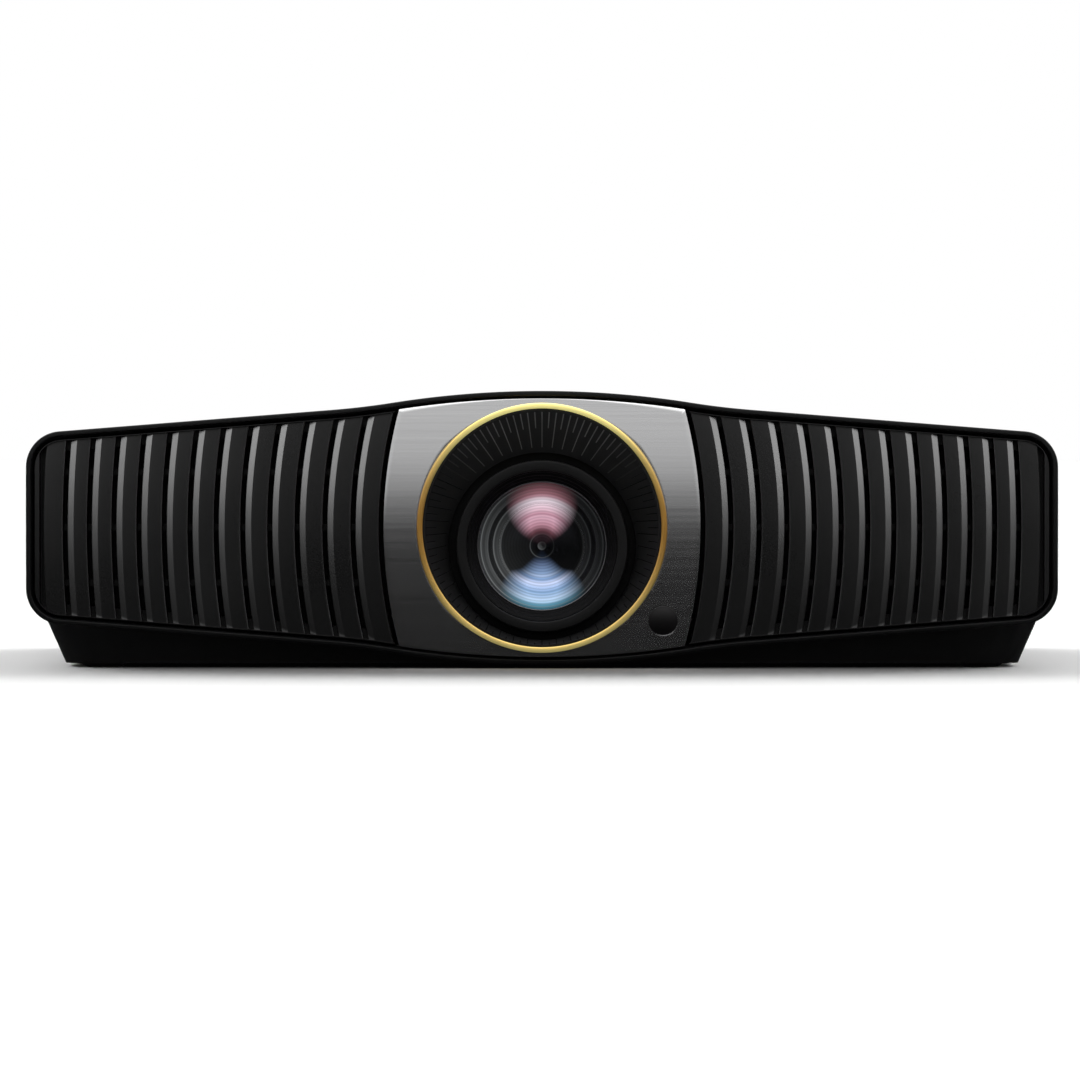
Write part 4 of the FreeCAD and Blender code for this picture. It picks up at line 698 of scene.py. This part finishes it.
def facing_front(piece):
    """Turns an open sheet's faces so that they look towards -Y."""
    normals = np.array([p.normal.y for p in piece.data.polygons])
    if normals.mean() > 0:
        piece.data.flip_normals()


def thicken(piece, thickness, edge, segments=3):
    """Gives an open sheet its thickness towards the back and rounds its edges."""
    solid = piece.modifiers.new("thickness", "SOLIDIFY")
    solid.thickness, solid.offset = thickness * MM, -1
    bevel = piece.modifiers.new("edges", "BEVEL")
    bevel.width, bevel.segments = edge * MM, segments
    bevel.limit_method, bevel.angle_limit = "ANGLE", math.radians(50)


panel = make_piece(
    "brushed_centre_panel", "chassis", panel_sheet(), gunmetal, ["centre_panel"]
)
facing_front(panel)
thicken(panel, 2.2, 0.1, 2)

# %% [markdown]
# ## The gold ring and the lens funnel
# The ring is a turned section. The funnel runs from the ring down to the lens, whose axis is lower, so
# each ray from the ring's centre meets the funnel's back circle at its own distance. A hundred grooves
# point at the ring's centre, long and short by turns, cut into the wall. Their colour is painted light and
# shade: pale in the upper grooves, where light would catch them, and nearly black lower down.

# %% Gold ring
crown = np.linspace(0, np.pi, 25)[:, None]
crown = np.concatenate(
    [RING_RADIUS - 1.35 + 1.35 * np.cos(crown), FRONT + 0.3 - 0.3 * np.sin(crown) ** 0.7], 1
)
ring_back = [(-2.7, FRONT + 7), (-0.8, FRONT + 7), (-0.8, PLATE), (0, PLATE)]
ring_back = np.array(ring_back) + [RING_RADIUS, 0]
ring_section = np.concatenate([crown, ring_back])[::-1]
ring_skin = sheet(turned(ring_section, MIDDLE, 256), True, True)
make_piece("gold_ring", "chassis", [ring_skin], gold, ["lens_trim_ring"])

# %% Funnel with engraved lines
LENS_Z = 61.5
GROOVES = 100
MOUTH, BACK, FUNNEL_DEPTH, FUNNEL_WALL = RING_RADIUS - 2.75, 47.4, 22.0, 1.8


def back_reach(angle, radius):
    """Distance from the ring's centre to the circle round the lens axis, along each angle."""
    drop = LENS_Z - MIDDLE
    along = np.cos(angle) * drop
    return along + np.sqrt(along**2 - drop**2 + radius**2)


def funnel():
    """The funnel's closed wall, and a mark that is 1 on the floor of each groove."""
    pitch = 2 * np.pi / GROOVES
    half, edge = math.radians(0.24), math.radians(0.07)
    local = np.array([-half - edge, -half, half, half + edge, 0.25 * pitch, 0.5 * pitch, 0.75 * pitch])
    angle = (np.arange(GROOVES)[:, None] * pitch + local[None]).ravel()
    in_groove = np.tile([0, 1, 1, 0, 0, 0, 0], GROOVES)[None].astype(bool)
    long_groove = np.repeat(np.arange(GROOVES) % 2 == 0, len(local))[None]
    t = np.unique(np.concatenate([np.linspace(0, 1, 16), [0.03, 0.035, 0.42, 0.425, 0.88, 0.885]]))[:, None]
    reach = np.where(long_groove, 0.8825, 0.4225)
    cut = in_groove & (t > 0.0325) & (t < reach)
    inner = (MOUTH - 1.1) * (1 - t) + back_reach(angle, BACK)[None] * t + 0.35 * cut
    outer = MOUTH * (1 - t) + (back_reach(angle, BACK) + FUNNEL_WALL)[None] * t
    y = FRONT + 1.6 + FUNNEL_DEPTH * t + 0 * angle[None]
    rows = np.concatenate([inner, outer[::-1]])
    depth = np.concatenate([y, y[::-1]])
    points = np.stack([rows * np.sin(angle), depth, MIDDLE + rows * np.cos(angle)], -1)
    return points, np.concatenate([cut, np.zeros_like(cut)])


def engraved_black_painted_groove_light():
    """Matt black. The grooves, from the mesh's own mark, carry painted light and shade: pale above, as if
    catching the light, and nearly black below, as if in shade.
    """
    finish = Finish("engraved_black_painted_groove_light", specular_ior_level=0.14)
    mark = finish.add("ShaderNodeAttribute", {"attribute_name": "mark"}, output="Fac")
    fine = finish.noise(finish.place, 1300, 3.0)
    x, _, z = finish.axes()
    rise = z - MIDDLE * MM
    # painted light and shade on the grooves: pale where they face upwards, nearly black at the sides and below
    above = ((rise / ((x * x + rise * rise) ** 0.5) - 0.45) * 2.2).limited()
    line = finish.blend(above, (0.0012, 0.0012, 0.0012), (0.15, 0.15, 0.15))
    wall = finish.blend(mark, (0.017, 0.017, 0.0173), line)
    finish.set(base_color=wall, roughness=mark * 0.25 + fine * 0.15 + 0.42)
    return finish.bumped(fine, 0.2).material


funnel_points, funnel_mark = funnel()
funnel_skin = sheet(funnel_points, True, True)
make_piece(
    "lens_funnel", "chassis", [funnel_skin], engraved_black_painted_groove_light(), ["lens_surround"], crease=40,
    mark=funnel_mark,
)

# %% [markdown]
# ## The lens
# A broad charcoal ring carries the front glass. Behind the glass the light meets a stack of ridged rings
# and a smaller lens. Coated glass throws back pink and blue rather than white, in fans that widen from
# the middle, and the ridges break them into rings. That play of colour is painted on the inner lens and
# its rings as a pattern of angle and distance from the lens axis.

# %% Lens face
LENS_FRONT = FRONT + 17.0


def from_lens_front(corners):
    """Corners as (radius, y), with y measured from the front of the lens."""
    return np.array(corners) + [0, LENS_FRONT]


def lens_piece(name, profile, material, count, stands_for=(), solid=False):
    """A profile turned about the lens axis, on the front group. A solid one starts and ends on the axis."""
    skin = sheet(turned(profile, LENS_Z, count), not solid, True)
    make_piece(name, "front_group", [skin], material, stands_for, crease=40 if solid else 32)


face_corners = [
    (43.5, 0), (43.5, 13), (34.92, 13), (34.92, 37), (33.6, 37), (33.6, 12), (38.2, 4.0), (38.2, 0),
]
face_radii = [0.8, 0.3, 0.2, 0.2, 0.2, 0.2, 0.2, 0.5]
face_section = round_profile(from_lens_front(face_corners), face_radii)
lens_piece("lens_face", face_section, cell_paint, 220, ["front_lens_cell"])
baffle_corners = [
    (38.19, 1.4), (38.19, 3.8), (33.6, 11.8), (32.9, 11.8), (32.9, 8.4), (34.2, 7.4), (34.4, 5.8), (35.8, 4.8),
    (36.0, 3.4), (37.4, 2.6), (37.6, 1.4),
]
baffle_section = round_profile(from_lens_front(baffle_corners), 0.15, 4)
lens_piece("lens_baffle", baffle_section, deep_black, 200)
flange_corners = from_lens_front([(43.4, 11.4), (48.6, 11.4), (48.6, 13), (43.4, 13)])
lens_piece("light_flange", round_profile(flange_corners, 0.2, 3), deep_black, 120)
turn = np.linspace(0, 2 * np.pi, 17)[:-1]
retainer_section = np.stack([32.55 + 0.38 * np.cos(turn), LENS_FRONT + 8.7 + 0.5 * np.sin(turn)], -1)
turned_grey = plain_metal("turned_grey", (0.16, 0.16, 0.165), 0.3, 1500)
lens_piece("glass_retainer", retainer_section, turned_grey, 200)


# %% Front glass
def lens_glass():
    """Thin coated glass: clear where it is faced, a mirror at its edge. A Mix Shader chooses between them, by
    the Fresnel share less what the coating takes away."""
    finish = Finish("coated_glass")
    tree = finish.tree
    clear = finish.add("ShaderNodeBsdfTransparent", None, {"Color": (0.93, 0.94, 0.97)})
    shine = finish.add("ShaderNodeBsdfGlossy", None, {"Color": (0.86, 0.8, 0.98), "Roughness": 0.03})
    edge = finish.add("ShaderNodeFresnel", None, {"IOR": 1.25})
    mixed = finish.add("ShaderNodeMixShader", None, {0: (edge - 0.0135).limited(), 1: clear, 2: shine})
    out = next(n for n in tree.nodes if n.type == "OUTPUT_MATERIAL")
    tree.links.new(mixed.socket, out.inputs["Surface"])
    tree.nodes.remove(finish.shader)
    return finish.material


def cap_profile(radius, curve, y_edge, count=26):
    """Half a lens surface as (radius, y), from the axis to the rim: part of a ball of radius curve."""
    r = np.linspace(0, radius, count)
    rise = np.sqrt(curve**2 - r**2) - math.sqrt(curve**2 - radius**2)
    return np.stack([r, y_edge - rise], -1)


glass_front = cap_profile(32.95, 80.0, LENS_FRONT + 9.2)
glass_back = cap_profile(31.5, 58.0, LENS_FRONT + 13.0)[::-1]
glass_rim = from_lens_front([(32.95, 13)])
glass_profile = np.concatenate([glass_front, glass_rim, glass_back])
coated_glass = lens_glass()
lens_piece("front_glass", glass_profile, coated_glass, 160, ["front_lens_glass"], solid=True)
frame["nodes"]["zoom_lens_glass"].data.materials[0] = coated_glass

# %% Inner rings and inner lens
def coating_play():
    """Light thrown back by the coatings, painted as a pattern of distance and angle round the lens axis and shown
    as emission.
    Each fan is a ramp of colour along the radius, times a wedge whose half width is another ramp. Thin pale rings
    on top are painted highlights on the ridges' edges, brighter towards the lower left."""
    finish = Finish("coating_play", roughness=0.25, specular_ior_level=0.1, emission_strength=1.15)
    x, _, z = finish.axes()
    up = z - LENS_Z * MM
    radius = (x * x + up * up) ** 0.5
    across = up / (radius + 0.0001)
    reach = radius / 0.035

    def ramp(*stops):
        return finish.add("ShaderNodeValToRGB", {"stops": [(r / 35, c) for r, c in stops]}, {"Fac": reach})

    def level(*stops):
        return ramp(*[(r, (v, v, v)) for r, v in stops]).maths("MAXIMUM", 0.0)

    # cosine of each fan's half width at each radius
    upper_edge = level((0, 0.1), (9, 0.4), (14, 0.48), (20, 0.58), (26, 0.7), (30, 0.78), (34, 0.84))
    lower_edge = level((0, 0.84), (10, 0.74), (15, 0.72), (20, 0.6), (26, 0.64), (30, 0.68), (34, 0.72))
    upper = ((across - upper_edge) / 0.42).limited() ** 1.5
    lower = ((across * -1.0 - lower_edge) / 0.32).limited() ** 1.5
    fine = (radius * 4200.0).maths("SINE") * 0.13 + 0.87
    pink = ramp(
        (0, (0, 0, 0)), (5.5, (0.02, 0.008, 0.01)), (8, (0.12, 0.04, 0.05)), (11, (0.52, 0.25, 0.3)),
        (15, (0.7, 0.4, 0.47)), (16.5, (0.54, 0.26, 0.32)), (19, (0.84, 0.57, 0.63)), (23.5, (1, 0.84, 0.88)),
        (25.5, (0.7, 0.36, 0.41)), (27, (0.52, 0.22, 0.25)), (29, (0.44, 0.17, 0.2)), (31, (0.26, 0.09, 0.1)),
        (33.5, (0.12, 0.05, 0.05)),
    )
    blue = ramp(
        (0, (0, 0, 0)), (6, (0.01, 0.02, 0.04)), (9, (0.14, 0.2, 0.34)), (14, (0.32, 0.47, 0.72)),
        (15.5, (0.5, 0.64, 0.88)), (17, (0.22, 0.36, 0.6)), (19.5, (0.68, 0.76, 0.97)),
        (21.5, (0.42, 0.56, 0.82)), (24, (0.22, 0.38, 0.6)), (27, (0.5, 0.66, 0.85)),
        (28.5, (0.42, 0.62, 0.8)), (30, (0.08, 0.28, 0.38)), (31.5, (0.03, 0.15, 0.2)),
        (33.5, (0.01, 0.06, 0.08)),
    )
    # painted highlights on the ridges' edges, stronger towards the lower left
    rings = level(
        (0, 0.02), (2, 0.05), (2.4, 0), (5.6, 0.004), (6, 0.05), (6.4, 0.004), (12, 0.006), (20.4, 0.01),
        (21, 0.06), (22.4, 0.03), (24.2, 0.03), (24.7, 0.1), (25.2, 0.008), (27.2, 0.008), (27.6, 0.06),
        (29.0, 0.03), (30.6, 0.03), (31.0, 0.14), (31.4, 0.02), (33, 0.01),
    )
    lower_left_highlight = ((x * -0.8 - up * 0.6) / (radius + 0.0001) * 0.5 + 0.5) ** 2.0
    colour = finish.blend(upper * fine, (0, 0, 0), pink)
    adding = {"data_type": "RGBA", "blend_type": "ADD"}
    for amount, tint in ((lower * fine, blue), (rings * fine * (lower_left_highlight * 1.5 + 0.25), (0.95, 0.98, 0.93))):
        lit = finish.blend(amount, (0, 0, 0), tint)
        colour = finish.add("ShaderNodeMix", adding, {"Factor": 1.0, 6: colour, 7: lit}, output=2)
    finish.set(base_color=(0.006, 0.006, 0.007), emission_color=colour)
    finish.material.cycles.emission_sampling = "NONE"
    return finish.material


step = np.arange(9)
ridge_r = np.repeat(33.0 - step * 1.4, 2)[1:]
ridge_y = LENS_FRONT + 14.0 + np.repeat(step * 1.15, 2)[:-1]
ridges = np.stack([ridge_r, ridge_y], -1)
ring_back = from_lens_front([(21.5, 30), (33.5, 30), (33.5, 14)])
ring_profile = round_profile(np.concatenate([ridges, ring_back]), 0.25, 3)
ring_glow = coating_play()
lens_piece("inner_lens_rings", ring_profile, ring_glow, 160)
inner_front = cap_profile(21.4, 48.0, LENS_FRONT + 24.0, 40)
inner_back = from_lens_front([(21.4, 27), (0, 27)])
inner_profile = np.concatenate([inner_front, inner_back])
lens_piece("inner_lens", inner_profile, ring_glow, 160, solid=True)

# %% [markdown]
# ## The small window
# A shallow dome of dark satin plastic at the lower right, clear to infrared from the remote control. It
# is a turned profile that is then bent to the plate's bow, and a thin flange hides the edge of its hole.


# %% Window
def window_plastic():
    """Very dark satin plastic with a faint warm tint and slightly uneven polish."""
    finish = Finish("window_gloss", specular_ior_level=0.3)
    slow = finish.noise(finish.place, 60, 2.0)
    tint = finish.blend(slow, (0.002, 0.0016, 0.002), (0.004, 0.003, 0.0035))
    finish.set(base_color=tint, roughness=slow * 0.06 + 0.36)
    return finish.material


window_y = PLATE + float(bow(WINDOW_Z))
dome = cap_profile(WINDOW_RADIUS, 26.0, window_y - 0.1, 16)
flange = np.array([[7.3, -0.1], [7.45, 0.02], [6.75, 0.05], [6.75, 6], [0, 6]]) + [0, window_y]
window_points = turned(np.concatenate([dome, flange]), WINDOW_Z + MIDDLE, 72, WINDOW_X)
window_points[..., 1] += bow(window_points[..., 2] - MIDDLE) - bow(WINDOW_Z)
window_skin = sheet(window_points, False, True)
make_piece(
    "ir_window", "chassis", [window_skin], window_plastic(), ["front_ir_window"], crease=40
)

# %% [markdown]
# ## Feet
# Each foot is a rubber pad under a grooved disc that is turned by hand, on a threaded shank. The pad and
# the disc are profiles turned about an upright line. The disc's radius also dips twenty-four times round
# the turn, and the shank's radius follows height and angle together, which makes a true screw thread.

# %% Feet
FOOT_X, FOOT_FRONT, FOOT_REAR = HALF_WIDTH - 37.0, -168.0, 164.0
PITCH = 1.25


def upright_turned(profile, x, y, count, dips=0, dip=0.0, dip_rows=slice(None)):
    """A profile of (radius, z) turned about the upright line at x, y. The rows in dip_rows lose up to dip
    of their radius at each narrow dip round the turn: radius - dip * cos(dips / 2 * angle) ** 16."""
    angle = np.linspace(0, 2 * np.pi, count, endpoint=False)[None]
    radius = profile[:, 0, None] + 0 * angle
    radius[dip_rows] -= dip * np.cos(dips / 2 * angle) ** 16
    z = profile[:, 1, None] + 0 * angle
    return np.stack([x + radius * np.sin(angle), y + radius * np.cos(angle), z], -1)


def thread(x, y, low, high, radius=4.0, depth=0.42):
    """A threaded rod: the radius falls from its crest by a triangle wave of z / pitch - angle / turn."""
    z = np.arange(low, high + 0.01, PITCH / 6)[:, None]
    angle = np.linspace(0, 2 * np.pi, 36, endpoint=False)[None]
    wave = 2 * np.abs((z / PITCH - angle / (2 * np.pi)) % 1 - 0.5)
    ends = np.clip(np.minimum(z - low, high - z) / PITCH, 0, 1)
    reach = (radius - depth * (1 - wave)) * (0.8 + 0.2 * ends) * (z > low) * (z < high - 0.1)
    return np.stack([x + reach * np.sin(angle), y + reach * np.cos(angle), z + 0 * angle], -1)


pad_edge = np.linspace(0, np.pi / 2, 9)
pad_side = np.stack([6.4 + 4.8 * np.sin(pad_edge), 2.2 - 2.2 * np.cos(pad_edge)], -1)
tread = [(0, 0.5), (1.5, 0.5), (1.7, 0), (3.3, 0), (3.5, 0.5), (4.4, 0.5), (4.6, 0), (6.3, 0)]
pad_profile = np.concatenate([tread, pad_side, [(0, 2.2)]])
disc_corners = [(0.001, 2.21), (11.3, 2.21), (11.5, 5.6), (3.0, 5.6), (0.001, 5.6)]
disc_profile = round_profile(disc_corners, [0, 0.6, 0.6, 0, 0], 5)
for end, y in (("front", FOOT_FRONT), ("rear", FOOT_REAR)):
    for side, x in (("left", -FOOT_X), ("right", FOOT_X)):
        foot = f"{end}_{side}_foot"
        pad = upright_turned(pad_profile, x, y, 72)
        make_piece(f"{foot}_rubber", foot, [sheet(pad, False, True)], rubber, [f"{foot}_pad"])
        disc = upright_turned(disc_profile, x, y, 288, 24, 0.6, slice(5, 15))
        make_piece(
            f"{foot}_wheel", f"{end}_{side}_shank",
            [sheet(disc, False, True), sheet(thread(x, y, 4.4, 32.2), False, True)], key_black,
            [f"{foot}_screw"], crease=40,
        )


# %% [markdown]
# ## Keys
# The keypad lies on the right slope of the lid, tilted with it. A round key is a turned profile with a
# shallow dish. An arrow key is a quarter of a flat ring: its top is a grid of angle and radius that rolls
# down at all four edges, and its arrow is painted from a mark on the same grid.

# %% Keys
KEYPAD_X, KEYPAD_Y, CASE_INSET = 168.0, 132.0, 1.2
KEY_PROUD, KEY_TAIL, DIAL_X, POWER_X = 0.6, -3.7, 12.0, -27.0
lid_height = top_height(np.array([KEYPAD_X]), CASE_INSET)[0] + MIDDLE


def on_keypad(points):
    """From the keypad's own frame to the slope: a turn about Y by the slope's angle, then a shift."""
    cos, sin = math.cos(SLOPE), math.sin(SLOPE)
    turn = np.array([[cos, 0, sin], [0, 1, 0], [-sin, 0, cos]])
    return points @ turn.T + np.array([KEYPAD_X, KEYPAD_Y, lid_height])


def round_key(x, radius):
    """A dished cap: height 0.6 less 0.25 times a bell of radius, with a rolled edge and straight sides.
    Also its printed mark, a thin ring on the top."""
    r = np.linspace(0.001, radius - 0.35, 14)
    dish = np.stack([r, KEY_PROUD - 0.25 * np.exp(-((r / (0.6 * radius)) ** 2))], -1)
    roll = np.linspace(0, np.pi / 2, 6)[1:, None]
    edge = np.concatenate([radius - 0.35 + 0.35 * np.sin(roll), KEY_PROUD - 0.35 + 0.35 * np.cos(roll)], 1)
    profile = np.concatenate([dish, edge, [(radius, KEY_TAIL), (0.001, KEY_TAIL)]])
    reach = np.repeat(profile[:, :1], 96, 1)
    return upright_turned(profile, x, 0, 96), (reach > 2.0) & (reach < 2.5) & (profile[:, 1:] > 0)


def arrow_key(middle):
    """A quarter ring about the dial, facing middle. Its top falls by 0.3 to the edges, with the tenth power.
    Also its printed mark, an arrowhead that points outwards."""
    u, v = np.meshgrid(np.linspace(-1, 1, 33), np.linspace(-1, 1, 65), indexing="ij")
    radius, angle = 12.5 + 4 * u, middle + math.radians(40.3) * v
    top = KEY_PROUD - 0.3 * np.maximum(np.abs(u), np.abs(v)) ** 10
    flat = np.stack([DIAL_X + radius * np.cos(angle), radius * np.sin(angle)], -1)
    across, out = radius * np.sin(angle - middle), radius * np.cos(angle - middle) - 12.5
    arrow = (np.abs(across) < 1.3 * (1.1 - out)) & (out > -1.0)
    mark = np.concatenate([arrow, np.zeros_like(arrow)])
    return slab(np.dstack([flat, top]), np.dstack([flat, 0 * top + KEY_TAIL])), mark


def printed_key():
    """Satin key plastic with pale print from the mesh's own mark."""
    finish = Finish("printed_key")
    mark = finish.add("ShaderNodeAttribute", {"attribute_name": "mark"}, output="Fac")
    fine = finish.noise(finish.place, 1500, 3.0)
    tint = finish.blend(mark, (0.014, 0.014, 0.015), (0.45, 0.45, 0.45))
    finish.set(base_color=tint, roughness=fine * 0.15 + 0.26)
    return finish.bumped(fine, 0.12).material


key_print = printed_key()


def make_key(key, vertices, faces, mark):
    """Puts one key in its place on the slope, on the body that moves with it."""
    parts = [(on_keypad(vertices), faces)]
    make_piece(
        f"{key}_key_cap", f"{key}_button", parts, key_print, [f"{key}_key"], crease=50, mark=mark
    )


for key, x, radius in (("power", POWER_X, 5.5), ("enter", DIAL_X, 6.5)):
    cap, ring_mark = round_key(x, radius)
    make_key(key, *sheet(cap, False, True), ring_mark)
for key, middle in (("right", 0), ("up", 90), ("left", 180), ("down", 270)):
    (vertices, faces), arrow_mark = arrow_key(math.radians(middle))
    make_key(key, vertices, faces, arrow_mark)


# %% [markdown]
# ## Studio
# A pale floor and a sky that is white to the camera. Unlike a real sky, it is different again for shiny
# surfaces, bright above and dark below the horizon, so that black plastic keeps its depth, and for matt
# ones. A weak soft lamp hangs above. Two stronger ones stand at the sides to bring out the bevels of the
# fins, and light linking keeps them off everything else, so the lid and the lens don't show them.

# %% Floor
floor_mesh = bpy.data.meshes.new("floor")
floor_mesh.from_pydata([(-30, -30, 0), (30, -30, 0), (30, 30, 0), (-30, 30, 0)], [], [(0, 1, 2, 3)])
floor = added("floor", floor_mesh)
floor_finish = Finish("floor_pale", roughness=0.9, specular_ior_level=0.0)
floor_tone = floor_finish.noise(floor_finish.place, 0.5, 1.0)
floor_finish.set(base_color=floor_finish.blend(floor_tone, (0.86, 0.86, 0.86), (0.88, 0.88, 0.88)))
floor_mesh.materials.append(floor_finish.material)
floor.visible_glossy = False


# %% Sky dome and lights
LOW_LIGHT, FRONT_LIGHT, OVERHEAD_LIGHT, BACK_LIGHT, EVEN_LIGHT = 0.017, 0.62, 1.6, 8.2, 0.2
OVERHEAD_WATTS, SIDE_WATTS = 4, 85


def soft_dome():
    """White to the camera. In reflections: dark below the horizon, a soft wall of light low down and more
    overhead. For matt surfaces: a weak even dome and a band of light behind, so the shadow falls forwards."""
    world = bpy.data.worlds.new("studio")
    world.use_nodes = True
    tree = world.node_tree
    tree.nodes.clear()
    way = node(tree, "ShaderNodeTexCoord", output="Generated")
    along, height = (node(tree, "ShaderNodeSeparateXYZ", None, {"Vector": way}, output=k) for k in (1, 2))

    def rise(value, start, end):
        values = {"Value": value, "From Min": start, "From Max": end}
        return node(tree, "ShaderNodeMapRange", {"interpolation_type": "SMOOTHSTEP"}, values)

    shine = rise(height, -0.005, 0.105) * FRONT_LIGHT + rise(height, 0.2, 0.6) * OVERHEAD_LIGHT + LOW_LIGHT
    band = rise(height, 0.14, 0.4) * (1 - rise(height, 0.5, 0.8))
    soft = band * rise(along, 0.1, 0.6) * BACK_LIGHT + rise(height, -0.02, 0.3) * EVEN_LIGHT
    seen = node(tree, "ShaderNodeLightPath", output="Is Camera Ray")
    matt = node(tree, "ShaderNodeLightPath", output="Is Diffuse Ray")
    strength = seen + (1 - seen) * (matt * soft + (1 - matt) * shine)
    glow = node(tree, "ShaderNodeBackground", None, {"Color": (1.0, 1.0, 1.0), "Strength": strength})
    out = tree.nodes.new("ShaderNodeOutputWorld")
    tree.links.new(glow.socket, out.inputs["Surface"])
    world.cycles.sampling_method = "NONE"
    bpy.context.scene.world = world


def soft_light(name, place, target, size, power):
    """A rectangular soft light at a place, aimed at a target, in metres and watts."""
    light = bpy.data.lights.new(name, "AREA")
    light.shape, light.size, light.size_y, light.energy = "RECTANGLE", size[0], size[1], power
    lamp = added(name, light)
    lamp.location = place
    lamp.rotation_euler = (Vector(target) - Vector(place)).to_track_quat("-Z", "Y").to_euler()
    return lamp


soft_dome()
soft_light("overhead", (0, 0.9, 2.4), (0, 0, 0), (2.6, 1.8), OVERHEAD_WATTS)
fins_only = bpy.data.collections.new("fins_only")
for name in ("right_fins", "left_fins"):
    fins_only.objects.link(bpy.data.objects[name])
for side in (-1, 1):
    wall = soft_light("side_wall", (side * 1.8, -1.5, 0.8), (0, -0.2, 0.1), (1.7, 1.1), SIDE_WATTS)
    wall.visible_diffuse = False
    wall.light_linking.receiver_collection = fins_only
bpy.context.scene.view_settings.view_transform = "Standard"

# %% [markdown]
# ## Camera
# A long lens four metres away, just below the top of the case, aimed a little below the face's middle.

# %% Camera
VIEW_WIDTH, DISTANCE, AIM_Z, AIM_X, EYE_Z = 0.5437, 4.0, 0.0649, -0.001, 0.118
camera_data = bpy.data.cameras.new("camera")
camera = added("camera", camera_data)
camera.location = (AIM_X, FRONT * MM - DISTANCE, EYE_Z)
aim = Vector((AIM_X, FRONT * MM, AIM_Z)) - camera.location
camera.rotation_euler = aim.to_track_quat("-Z", "Y").to_euler()
camera_data.sensor_width = 36.0
camera_data.lens = camera_data.sensor_width * aim.length / VIEW_WIDTH
camera_data.clip_end = 100.0
bpy.context.scene.camera = camera
print("lens", round(camera_data.lens, 1), "mm")
